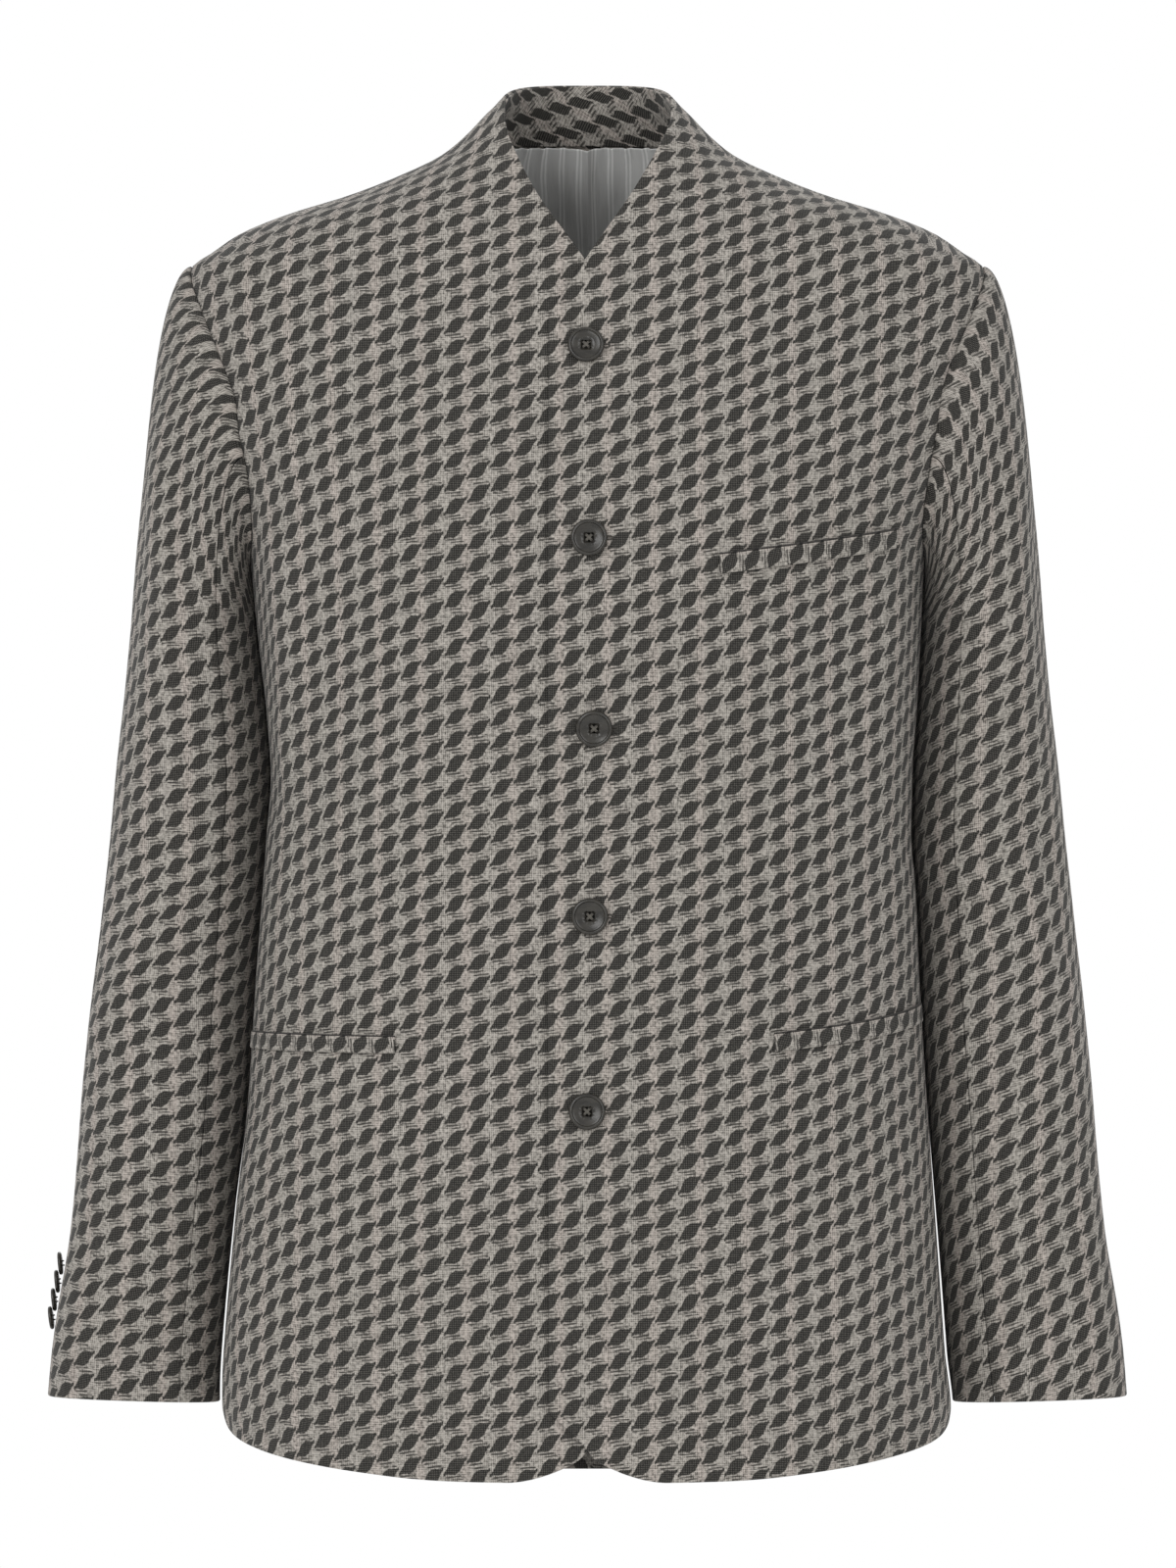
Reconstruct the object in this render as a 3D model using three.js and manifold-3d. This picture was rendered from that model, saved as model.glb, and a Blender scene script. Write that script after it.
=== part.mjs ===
// A collarless wool blazer, filled out as worn, in millimetres.
// +Z is up, -Y is the front and +X is the wearer's left. The origin is the middle of the neck's base.
import * as THREE from 'three';
import { mergeVertices } from 'three/addons/utils/BufferGeometryUtils.js';
import Module from 'manifold-3d';

const wasm = await Module();
wasm.setup();

// Driving dimensions
const clothWall = 2.0; // wool with its interlining
const facingWall = 1.5;
const liningWall = 1.0;
const liningClear = 1.9; // between the back and its lining
const pleatDepth = 3;
const seamGap = 0.3;
const layerGap = 0.6; // between the two fronts where they lap
const ringPower = 2.4; // how square the body's horizontal sections are
const sleevePower = 2.3;
const shoulderZ = -63.2; // top of the armhole
const underarmZ = -232;
const armholeDepth = 62; // half of its reach from front to back
const armholeEgg = 0.12; // how much wider it is low down
const armholeSteps = 12; // rows between the top and the bottom of the armhole
const neckSeamZ = 2;
const standTopSide = 28.8; // collar height at the side of the neck
const standTopBack = 39.8;
const standRows = 4;
const standColumns = 14;
const hemStartZ = -600; // below this the rows bend to follow the hem
const frontHemZ = -726.4; // lowest point of the fronts
const facingLowerZ = 7; // straight lower edge of the facing inside the neck
const sleeveTopZ = -262; // first level section of the sleeve
const cuffZ = -687;
const sleeveClearance = 2.0; // between sleeve and body
const bodyRound = 140; // radius on which the body's folds are laid out
const sleeveRound = 55;
const lapFadeInner = 26; // the under front starts to sink at the outer of these reaches
const lapFadeOuter = 64;
const foldFadeZ = 60; // the body's folds fade out over this height below the shoulder

// Horizontal sections of the body. half: half width, front and back: reach before and behind the side
// line, shift: the middle's place in X
const bodySections = table(['z', 'half', 'front', 'back', 'shift'], [
  [42, 43.5, 44, 58, 0],
  [29.7, 47.5, 46, 60, 0],
  [18.9, 57.5, 50, 62, 0],
  [8.1, 67.8, 55, 65, 0],
  [-2.7, 81.3, 61, 70, 0],
  [-13.5, 103.7, 68, 76, 0],
  [-24.3, 131.2, 75, 83, 0],
  [-35.1, 166, 82, 90, 0],
  [-45.9, 192, 88, 96, 0],
  [-56.7, 207.9, 94, 101, 0],
  [-63.2, 217.4, 97, 104, 0],
  [-76, 220.5, 102, 109, 0],
  [-90, 220.2, 107, 113, 0],
  [-112, 216.7, 114, 118, 0],
  [-134, 211.2, 121, 122, 0],
  [-157, 206, 128, 125, 0],
  [-181, 198.1, 133, 127, 0],
  [-200, 191.6, 136, 127, 0],
  [-216, 187.6, 137, 127, 0],
  [-236, 185, 138, 126, 0.2],
  [-258, 183.3, 137, 124, 0.8],
  [-286, 181, 135, 120, 1.6],
  [-310, 179, 132, 116, 2.3],
  [-345, 176.7, 128, 111, 2.3],
  [-381, 177.8, 125, 108, 0.7],
  [-403, 179.6, 124, 107, 0.9],
  [-460, 183, 124, 109, 0],
  [-521, 186.8, 127, 114, 0],
  [-584, 192.5, 131, 119, -1.2],
  [-659, 198.5, 134, 122, -1.8],
  [-690, 200.6, 135, 123, -0.5],
  [-706, 198, 135, 123, 0],
  [-740, 196, 135, 124, 0],
]);

// Inner edge of each front, measured from the middle towards its own side. A negative reach laps past it.
const frontEdges = table(['z', 'left', 'right'], [
  [29.7, 46.6, 46.2],
  [19.2, 46.5, 45.9],
  [10, 43.8, 44.4],
  [0, 38.6, 40.4],
  [-9, 33.6, 36.3],
  [-24.6, 24.5, 28.1],
  [-62.7, -1.3, 1.3],
  [-74.4, -8.4, -6.4],
  [-85.6, -16, -15],
  [-96, -21, -21],
  [-420, -21.5, -21.5],
  [-640, -21, -21],
]);

// The rounded lower corner of each front: reach of the edge at a height above the hem
const cornerCurve = table(['above', 'reach'], [
  [70, -21],
  [38.5, -20.4],
  [33.2, -15.7],
  [27.4, -8.6],
  [20.2, -2.2],
  [12.6, 4.5],
  [7.5, 13.7],
  [2.4, 27.8],
  [0.3, 38.5],
  [0, 42.7],
]);

// Height of the hem from the side seam, depth 0, to the middle, depth 1
const hemCurve = table(['depth', 'front', 'back'], [
  [0, -697, -697],
  [0.3, -705.6, -706.5],
  [0.5, -710.9, -713.5],
  [0.7, -716.6, -720.5],
  [0.85, -721.6, -727.5],
  [0.95, -725.4, -731.5],
  [1, -726.4, -732.2],
]);

// Large soft folds in the body's cloth. angle: degrees from the side line, front negative
const bodyFolds = table(['side', 'angle0', 'z0', 'angle1', 'z1', 'height', 'width'], [
  [1, -34, -170, -30, -400, 2.4, 17],
  [1, -48, -215, -43, -350, -1.8, 18],
  [-1, -32, -175, -24, -380, 2.6, 16],
  [-1, -45, -230, -38, -330, -1.6, 17],
  [1, -26, -430, -30, -560, -1.6, 22],
  [-1, -20, -520, -26, -690, 2.0, 24],
  [1, -40, -560, -44, -700, 1.8, 26],
  [1, 38, -218, 32, -400, 2.8, 18],
  [-1, 40, -225, 33, -420, 2.6, 18],
  [1, 60, -330, 66, -480, -2.4, 22],
  [-1, 58, -350, 64, -470, -2.2, 24],
  [1, 48, -520, 50, -700, 2.6, 26],
  [-1, 50, -540, 47, -700, 2.4, 25],
]);

// Level sections of the sleeve. outer: distance of its outer edge from the body's middle,
// middle: place of its deepest line in Y, front and back: reach from that line
const sleeveSections = table(['z', 'outer', 'middle', 'front', 'back'], [
  [-262, 251.8, 22, 74, 76],
  [-294, 255.2, 23, 70, 72],
  [-337, 260.3, 25, 66, 67],
  [-381, 264.1, 26, 63, 62],
  [-424, 268.9, 26, 61, 58],
  [-467, 274.1, 24, 58, 54],
  [-510, 278.1, 21, 55, 50],
  [-554, 281.6, 17, 51, 46],
  [-597, 285.9, 13, 47, 43],
  [-640, 292.4, 10, 43, 41],
  [-662, 295.1, 9, 41, 40],
  [-690, 297.6, 8, 39, 39],
]);

// Large soft folds in the sleeves. turn: degrees round the sleeve from its outer edge, front positive
const sleeveFolds = table(['side', 'turn0', 'z0', 'turn1', 'z1', 'height', 'width'], [
  [1, 30, -120, 66, -300, 2.2, 15],
  [1, 82, -330, 34, -410, -2.6, 12],
  [1, 78, -430, 28, -470, 2.2, 12],
  [1, 20, -540, 70, -600, -1.8, 14],
  [1, -70, -380, -20, -430, -2.2, 14],
  [-1, 36, -130, 70, -320, 2.4, 15],
  [-1, 88, -370, 30, -430, -2.8, 12],
  [-1, 70, -440, 18, -500, 2.4, 13],
  [-1, 30, -590, 76, -640, -2.0, 14],
  [-1, -66, -370, -24, -440, -2.4, 14],
]);

// Where the sleeve's two seams run, in degrees round it, at the armhole and at the cuff
const sleeveSeams = {
  frontTop: 105,
  frontCuff: 122,
  backTop: -75,
  backCuff: { left: -36, right: -12 },
};

// Welts: from the end nearest the front edge to the end nearest the side, along their upper edge
const welts = [
  { name: 'chest_welt', side: 1, x0: 71.4, z0: -223.3, x1: 166.6, z1: -208.4, height: 11.5 },
  { name: 'pocket_welt_left', side: 1, x0: 100.8, z0: -483.2, x1: 181.5, z1: -468.2, height: 10.5 },
  { name: 'pocket_welt_right', side: -1, x0: 104, z0: -484.8, x1: 182.6, z1: -483.4, height: 9.8 },
];
const weltThickness = 2.0;
const weltGap = 0.7;
const weltRows = 2;
const weltColumns = 14;

// Front buttons and cuff buttons
const frontButtons = table(['x', 'z'], [
  [-0.8, -110.7],
  [0.8, -215.2],
  [3.5, -318.1],
  [1.3, -420],
  [-0.3, -525.6],
]);
const frontButton = { radius: 10, height: 3.8, holeRadius: 1.0, holeSpread: 1.75, sides: 18 };
const cuffButton = { radius: 6.4, height: 2.2, sides: 12 };
const cuffButtons = { count: 4, topZ: -614.5, pitch: 10, tilt: 15, turn: { left: -44, right: -4 } };
const shankGap = 0.3; // between a button's back and the cloth

// Colours, roughness and metalness
const wool = new THREE.MeshStandardMaterial({ color: 0x65615d, roughness: 0.92, metalness: 0 });
const satin = new THREE.MeshStandardMaterial({ color: 0x727270, roughness: 0.4, metalness: 0 });
const horn = new THREE.MeshStandardMaterial({ color: 0x3c3a36, roughness: 0.28, metalness: 0 });

const deg = Math.PI / 180;
const group = new THREE.Group();
group.name = 'blazer';

// Tables and curves

// Rows of numbers become objects with the columns' names
function table(columns, rows) {
  return rows.map((row) => Object.fromEntries(columns.map((name, i) => [name, row[i]])));
}

// A smooth curve without overshoot through one column of a table, read at a value of its first column
function readTable(rows, key, column, at) {
  const points = rows[0][key] > rows[rows.length - 1][key] ? [...rows].reverse() : rows;
  const last = points.length - 1;
  if (at <= points[0][key]) return points[0][column];
  if (at >= points[last][key]) return points[last][column];
  let i = 0;
  while (at > points[i + 1][key]) i += 1;
  const rise = (j) => (points[j + 1][column] - points[j][column]) / (points[j + 1][key] - points[j][key]);
  const slope = (j) => {
    if (j === 0) return rise(0);
    if (j === last) return rise(last - 1);
    const before = rise(j - 1);
    const after = rise(j);
    return before * after <= 0 ? 0 : (2 * before * after) / (before + after);
  };
  const width = points[i + 1][key] - points[i][key];
  const t = (at - points[i][key]) / width;
  const s = 1 - t;
  const ends = s * s * (1 + 2 * t) * points[i][column] + t * t * (3 - 2 * t) * points[i + 1][column];
  return ends + width * t * s * (s * slope(i) - t * slope(i + 1));
}

function smoothStep(from, to, value) {
  const t = Math.min(1, Math.max(0, (value - from) / (to - from)));
  return t * t * (3 - 2 * t);
}

// Height of a set of folds at a place on the cloth. Each is a soft ridge or trough about a straight line,
// and fades over the last quarter at both ends.
function foldHeight(folds, side, turn, z, radius, names) {
  let sum = 0;
  for (const fold of folds) {
    if (fold.side !== side) continue;
    const ax = fold[names[0]] * deg * radius;
    const bx = fold[names[1]] * deg * radius;
    const dx = bx - ax;
    const dz = fold.z1 - fold.z0;
    const t = ((turn * radius - ax) * dx + (z - fold.z0) * dz) / (dx * dx + dz * dz);
    const held = Math.min(1, Math.max(0, t));
    const away = Math.hypot(turn * radius - ax - held * dx, z - fold.z0 - held * dz);
    const fade = smoothStep(0, 0.25, held) * smoothStep(1, 0.75, held);
    sum += fold.height * fade * Math.exp(-((away / fold.width) ** 2));
  }
  return sum;
}

// The body's form

function bodySection(z) {
  const read = (column) => readTable(bodySections, 'z', column, z);
  return { half: read('half'), front: read('front'), back: read('back'), shift: read('shift') };
}

// The depth share that belongs to a width share on a section
function otherShare(share) {
  return Math.pow(Math.max(0, 1 - Math.pow(Math.abs(share), ringPower)), 1 / ringPower);
}

// Angle on the section where the cloth is at a distance x from the middle, on the front
function angleAtReach(side, x, z) {
  const section = bodySection(z);
  const share = (x - side * section.shift) / section.half;
  return Math.atan2(-otherShare(share), share);
}

// Angle on the section where the cloth is a distance y before (negative) or behind the side line
function angleAtDepth(y, z) {
  const section = bodySection(z);
  const share = Math.abs(y) / (y < 0 ? section.front : section.back);
  return Math.atan2(Math.sign(y) * share, otherShare(share));
}

// The under front sinks behind the upper one where they lap, below the neckline
function lapSink(side, x, z) {
  const sink = clothWall + layerGap;
  return side < 0 ? sink * smoothStep(lapFadeOuter, lapFadeInner, x) * smoothStep(-30, shoulderZ, z) : 0;
}

// A point of the body's outer surface. angle: 0 at the side line, -90 degrees at the front's middle
function bodyPoint(side, angle, z) {
  const section = bodySection(z);
  const c = Math.cos(angle);
  const s = Math.sin(angle);
  const size = Math.pow(Math.abs(c) ** ringPower + Math.abs(s) ** ringPower, -1 / ringPower);
  const depth = s < 0 ? section.front : section.back;
  const calm = smoothStep(shoulderZ, shoulderZ - foldFadeZ, z);
  const lift = calm * foldHeight(bodyFolds, side, angle, z, bodyRound, ['angle0', 'angle1']);
  const x = section.half * c * size;
  let y = depth * s * size;
  if (s < 0) y += lapSink(side, x, z);
  return new THREE.Vector3(side * (x + lift * c) + section.shift, y + lift * s, z);
}

function surfaceNormal(surface, u, v, side) {
  const step = 1e-3;
  const du = surface(u + step, v).sub(surface(u - step, v));
  const reach = 0.2;
  const dv = surface(u, v + reach).sub(surface(u, v - reach));
  return du.cross(dv).normalize().multiplyScalar(side);
}

function bodyNormal(side, angle, z) {
  return surfaceNormal((u, v) => bodyPoint(side, u, v), angle, z, side);
}

// The armhole: its loop is read by a turn of 0 at the shoulder, 90 degrees at the front, 180 at the underarm
function armholeZ(turn) {
  return (shoulderZ + underarmZ) / 2 + ((shoulderZ - underarmZ) / 2) * Math.cos(turn);
}

function armholeY(turn) {
  return -armholeDepth * Math.sin(turn) * (1 - armholeEgg * Math.cos(turn));
}

// Heights of the rows that all body panels share
const shoulderRows = [28.8, 17, 2, -8, -18, -28, -39, -51];
const armholeRows = [];
for (let k = 0; k <= armholeSteps; k += 1) armholeRows.push(armholeZ((k / armholeSteps) * Math.PI));
const bodyRows = [-265, -310, -360, -415, -475, -540, -600];
const hemShares = [0.4, 0.69, 0.76, 0.83, 0.89, 0.94, 0.98, 1]; // between hemStartZ and the hem
const plainHemShares = [0.4, 0.76, 1];
const frontColumns = 9; // from the front edge to the knee line
const backColumns = 6; // from the back's middle to the knee line
const sideColumns = 3; // from the knee line to the side
const kneeDepth = 68; // the knee line's distance before or behind the side line, just past the armhole

// Height of the hem at an angle round the body
function hemAt(angle) {
  const c = Math.abs(Math.cos(angle));
  const s = Math.abs(Math.sin(angle));
  const share = s / Math.pow(c ** ringPower + s ** ringPower, 1 / ringPower);
  return readTable(hemCurve, 'depth', angle < 0 ? 'front' : 'back', share);
}

// Angle where a panel ends towards the side: at the side or shoulder seam, or at the armhole
function outerAngle(facing, z, row) {
  const seam = facing * (seamGap / 2);
  if (row < 0 || row > armholeSteps) return angleAtDepth(seam, z);
  const reach = Math.abs(armholeY((row / armholeSteps) * Math.PI));
  return angleAtDepth(facing * Math.max(reach, seamGap / 2), z);
}

// Solids

// A closed wall between two grids of points with the same rows and columns
function wallGeometry(outer, inner) {
  const rows = outer.length;
  const columns = outer[0].length;
  const count = rows * columns;
  const positions = [...outer.flat(), ...inner.flat()].flatMap((p) => [p.x, p.y, p.z]);
  const index = [];
  const quad = (a, b, c, d) => index.push(a, b, c, a, c, d);
  for (let r = 0; r + 1 < rows; r += 1) {
    for (let c = 0; c + 1 < columns; c += 1) {
      const a = r * columns + c;
      quad(a, a + columns, a + columns + 1, a + 1);
      quad(count + a, count + a + 1, count + a + columns + 1, count + a + columns);
    }
    const left = r * columns;
    const right = left + columns - 1;
    quad(left, count + left, count + left + columns, left + columns);
    quad(right, right + columns, count + right + columns, count + right);
  }
  for (let c = 0; c + 1 < columns; c += 1) {
    const low = (rows - 1) * columns + c;
    quad(c, c + 1, count + c + 1, count + c);
    quad(low, count + low, count + low + 1, low + 1);
  }
  const geometry = new THREE.BufferGeometry();
  geometry.setAttribute('position', new THREE.Float32BufferAttribute(positions, 3));
  geometry.setIndex(index);
  return outwardFacing(geometry);
}

// Turns the faces round if they enclose a negative volume
function outwardFacing(geometry) {
  const position = geometry.attributes.position;
  const index = geometry.index.array;
  const corner = (i) => new THREE.Vector3().fromBufferAttribute(position, index[i]);
  let volume = 0;
  for (let i = 0; i < index.length; i += 3) {
    volume += corner(i).dot(corner(i + 1).cross(corner(i + 2)));
  }
  if (volume < 0) {
    for (let i = 0; i < index.length; i += 3) {
      const swap = index[i + 1];
      index[i + 1] = index[i + 2];
      index[i + 2] = swap;
    }
  }
  return geometry;
}

function addMesh(name, geometry, material) {
  geometry.computeVertexNormals();
  const mesh = new THREE.Mesh(geometry, material);
  mesh.name = name;
  group.add(mesh);
  return mesh;
}

// A wall that lies along the body, a depth in from its outer surface
function bodyWall(places, depth, thickness) {
  const layer = (sink) => places.map((row) => row.map(({ side, angle, z, lift = 0 }) => {
    const normal = bodyNormal(side, angle, z);
    return bodyPoint(side, angle, z).addScaledVector(normal, lift - sink);
  }));
  return wallGeometry(layer(depth), layer(depth + thickness));
}

// Fronts and backs

// Rows of a panel as heights, each with its place in the armhole or its share of the hem
function panelRows(topRows, shares) {
  return [
    ...topRows.map((z) => ({ z, row: -1 })),
    ...armholeRows.map((z, row) => ({ z, row })),
    ...bodyRows.map((z) => ({ z, row: -1 })),
    ...shares.map((share) => ({ share, row: -1 })),
  ];
}

// Angles from a panel's inner edge to its outer one, evenly spaced before and after the knee line
function panelAngles(facing, from, to, columns, z) {
  const depth = bodySection(z)[facing < 0 ? 'front' : 'back'];
  const knee = angleAtDepth(facing * Math.min(kneeDepth, depth * 0.62), z);
  const inner = Array.from({ length: columns }, (_, i) => from + (knee - from) * (i / columns));
  const outer = Array.from({ length: sideColumns + 1 }, (_, i) => knee + (to - knee) * (i / sideColumns));
  return [...inner, ...outer];
}

// Places of a row. Rows that name a share of the hem bend to follow it.
function placesAt(angles, { z, share }) {
  return angles.map((angle) => ({
    angle,
    z: share === undefined ? z : hemStartZ + share * (hemAt(angle) - hemStartZ),
  }));
}

function rowLevel({ z, share }) {
  return share === undefined ? z : hemStartZ + share * (frontHemZ - hemStartZ);
}

function frontPlaces(side) {
  const column = side > 0 ? 'left' : 'right';
  return panelRows(shoulderRows, hemShares).map((row) => {
    const level = rowLevel(row);
    const reach = row.share === undefined
      ? readTable(frontEdges, 'z', column, level)
      : readTable(cornerCurve, 'above', 'reach', level - frontHemZ);
    const from = angleAtReach(side, reach, level);
    const angles = panelAngles(-1, from, outerAngle(-1, level, row.row), frontColumns, level);
    return placesAt(angles, row).map((place) => ({ side, ...place }));
  });
}

function backPlaces(side) {
  const top = shoulderRows.filter((z) => z <= neckSeamZ);
  return panelRows(top, plainHemShares).map((row) => {
    const level = rowLevel(row);
    const from = Math.PI / 2 - seamGap / 2 / bodySection(level).half;
    const angles = panelAngles(1, from, outerAngle(1, level, row.row), backColumns, level);
    return placesAt(angles, row).map((place) => ({ side, ...place }));
  });
}

function addFrontsAndBacks() {
  addMesh('front_left', bodyWall(frontPlaces(1), 0, clothWall), wool);
  addMesh('front_right', bodyWall(frontPlaces(-1), 0, clothWall), wool);
  addMesh('back_left', bodyWall(backPlaces(1), 0, clothWall), wool);
  addMesh('back_right', bodyWall(backPlaces(-1), 0, clothWall), wool);
}

// Collar and lining

function standTop(angle) {
  return standTopSide + (standTopBack - standTopSide) * (1 - Math.pow(1 - Math.sin(angle), 1.6));
}

// A place on the whole back, whose angle runs from the left side line, 0, to the right one, 180 degrees
function acrossBack(angle, z, lift = 0) {
  const left = angle <= Math.PI / 2;
  return { side: left ? 1 : -1, angle: left ? angle : Math.PI - angle, z, lift };
}

// Places round the back of the neck from one shoulder seam to the other
function standPlaces(lowZ, topDrop, inset) {
  const seamZ = neckSeamZ + seamGap;
  return Array.from({ length: standRows + 1 }, (_, r) => Array.from({ length: standColumns + 1 }, (__, i) => {
    const angle = inset + (Math.PI - 2 * inset) * (i / standColumns);
    const high = standTop(angle);
    const level = high + (seamZ - high) * (r / standRows);
    return acrossBack(angle, r === 0 ? high - topDrop : Math.max(level, lowZ));
  }));
}

function addCollar() {
  const neckReach = 55;
  const inset = seamGap / 2 / neckReach;
  addMesh('collar_stand', bodyWall(standPlaces(neckSeamZ + seamGap, 0, inset), 0, clothWall), wool);
  const facing = standPlaces(facingLowerZ, 0.4, inset * 2);
  addMesh('collar_facing', bodyWall(facing, clothWall + seamGap, facingWall), wool);
}

// The lining follows the back from the facing to above the hem, with a pleat down its middle
function liningPlaces() {
  const plain = panelRows([2, -8, -18, -39, -51], [0.4]).filter(({ row }) => row < 0 || row % 2 === 0);
  const rows = [{ z: facingLowerZ - 0.4, row: -1 }, ...plain, { share: 0.78, row: -1 }];
  return rows.map((row) => {
    const level = rowLevel(row);
    const seam = Math.PI / 2;
    const [, next, ...rest] = panelAngles(1, seam, outerAngle(1, level, row.row), backColumns, level).slice(0, -1);
    const close = [0, 0.25, 0.5].map((share) => seam + (next - seam) * share);
    const half = placesAt([...close, next, ...rest], row);
    const other = half.slice(1).map(({ angle, z }) => ({ angle: Math.PI - angle, z }));
    return [...half.reverse(), ...other].map(({ angle, z }) => {
      const x = bodySection(level).half * Math.cos(angle);
      const pleat = pleatDepth * Math.exp(-(((x + 3) / 7) ** 2)) * smoothStep(-330, -120, z);
      return acrossBack(angle, z, -pleat);
    });
  });
}

function addLining() {
  addMesh('back_lining', bodyWall(liningPlaces(), clothWall + liningClear, liningWall), satin);
}

// Sleeves

function sleeveSection(side, z) {
  const read = (column) => readTable(sleeveSections, 'z', column, z);
  const middle = read('middle');
  const body = bodySection(z);
  const inner = body.half * otherShare(middle / body.back) + side * body.shift + sleeveClearance;
  const outer = read('outer');
  const centre = (outer + inner) / 2;
  return { centre, half: (outer - inner) / 2, middle, front: read('front'), back: read('back') };
}

function sleeveFold(side, turn, z) {
  const around = Math.atan2(Math.sin(turn), Math.cos(turn));
  return foldHeight(sleeveFolds, side, around, z, sleeveRound, ['turn0', 'turn1']);
}

// A point of a level section of the sleeve. turn: 0 at its outer edge, 90 degrees at its front
function sleeveRing(side, turn, z) {
  const section = sleeveSection(side, z);
  const c = Math.cos(turn);
  const s = Math.sin(turn);
  const size = Math.pow(Math.abs(c) ** sleevePower + Math.abs(s) ** sleevePower, -1 / sleevePower);
  const depth = s > 0 ? section.front : section.back;
  const lift = sleeveFold(side, turn, z);
  const x = section.centre + (section.half * size + lift) * c;
  return new THREE.Vector3(side * x, section.middle - (depth * size + lift) * s, z);
}

// The sleeve's head: from the armhole, out along its own direction, then down into the first level section
function headPoint(side, turn, share) {
  const c = Math.cos(turn);
  const s = Math.sin(turn);
  const z = armholeZ(turn);
  const y = armholeY(turn);
  const start = bodyPoint(side, angleAtDepth(Math.abs(y) < 1e-6 ? 1e-6 : y, z), z);
  const out = new THREE.Vector3(side * (0.93 + 0.05 * c), -0.3 * s, 0.16 * c - 0.1).normalize();
  start.addScaledVector(out, seamGap);
  const end = sleeveRing(side, turn, sleeveTopZ);
  const reach = c > 0 ? 20 + 2 * c - 6 * c * c : 20 + 17 * c;
  const drop = 46 + 66 * Math.max(0, c) + 34 * Math.min(0, c);
  const first = start.clone().addScaledVector(out, reach);
  const second = end.clone().add(new THREE.Vector3(-side * 0.07 * drop, 0, drop));
  return new THREE.CubicBezierCurve3(start, first, second, end).getPoint(share);
}

// The whole sleeve read by one length: 0 to 1 in the head, and on from 1 down to the cuff at 2
function sleevePoint(side, turn, along) {
  if (along <= 1) {
    const point = headPoint(side, turn, along);
    const calm = smoothStep(0, 0.4, along) * smoothStep(1, 0.7, along);
    const lift = calm * sleeveFold(side, turn, point.z);
    point.x += side * lift * Math.cos(turn);
    point.y -= lift * Math.sin(turn);
    return point;
  }
  const tilt = 1.6 * Math.cos(turn) * (along - 1);
  const z = sleeveTopZ + (cuffZ - sleeveTopZ) * (along - 1);
  const point = sleeveRing(side, turn, z);
  point.z += tilt;
  return point;
}

function sleeveNormal(side, turn, along) {
  const a = along < 0.002 ? 0.002 : along;
  const step = 1e-3;
  const du = sleevePoint(side, turn + step, a).sub(sleevePoint(side, turn - step, a));
  const dv = sleevePoint(side, turn, a + step).sub(sleevePoint(side, turn, a - step));
  return du.cross(dv).normalize().multiplyScalar(side);
}

const sleeveAlong = [0, 0.08, 0.22, 0.42, 0.7, 1, 1.12, 1.25, 1.37, 1.5, 1.62, 1.75, 1.88, 2];

function sleeveWall(side, from, to, columns, gap) {
  const places = sleeveAlong.map((along) => {
    const share = smoothStep(0, 2, along);
    const start = (from.top + (from.cuff - from.top) * share) * deg;
    const end = (to.top + (to.cuff - to.top) * share) * deg;
    const slit = gap / 2 / sleeveRound;
    return Array.from({ length: columns + 1 }, (_, i) => {
      let turn = start + (end - start) * (i / columns);
      if (i === 0) turn += slit * Math.sign(end - start);
      if (i === columns) turn -= slit * Math.sign(end - start);
      return { turn, along };
    });
  });
  const layer = (sink) => places.map((row) => row.map(({ turn, along }) => {
    const normal = sleeveNormal(side, turn, along);
    return sleevePoint(side, turn, along).addScaledVector(normal, -sink);
  }));
  return wallGeometry(layer(0), layer(clothWall));
}

function addSleeves() {
  for (const side of [1, -1]) {
    const word = side > 0 ? 'left' : 'right';
    const front = { top: sleeveSeams.frontTop, cuff: sleeveSeams.frontCuff };
    const back = { top: sleeveSeams.backTop, cuff: sleeveSeams.backCuff[word] };
    const around = { top: back.top + 360, cuff: back.cuff + 360 };
    addMesh(`sleeve_${word}_top`, sleeveWall(side, back, front, armholeSteps, seamGap), wool);
    addMesh(`sleeve_${word}_under`, sleeveWall(side, front, around, armholeSteps, seamGap), wool);
  }
}

// Pockets

// The point of a faceted panel at an angle and height, inside one of its triangles, with its normal
function pointOnPanel(places, points, angle, z) {
  for (let r = 0; r + 1 < places.length; r += 1) {
    for (let c = 0; c + 1 < places[0].length; c += 1) {
      const low = [[r, c], [r + 1, c], [r + 1, c + 1]];
      const high = [[r, c], [r + 1, c + 1], [r, c + 1]];
      for (const corners of [low, high]) {
        const flat = corners.map(([i, j]) => new THREE.Vector3(places[i][j].angle / deg, places[i][j].z, 0));
        const wanted = new THREE.Vector3(angle / deg, z, 0);
        const shares = THREE.Triangle.getBarycoord(wanted, ...flat, new THREE.Vector3());
        if (!shares || Math.min(shares.x, shares.y, shares.z) < -1e-6) continue;
        const [p, q, s] = corners.map(([i, j]) => points[i][j]);
        const point = new THREE.Vector3().addScaledVector(p, shares.x).addScaledVector(q, shares.y);
        return point.addScaledVector(s, shares.z);
      }
    }
  }
  throw new Error('no such place on the panel');
}

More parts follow.
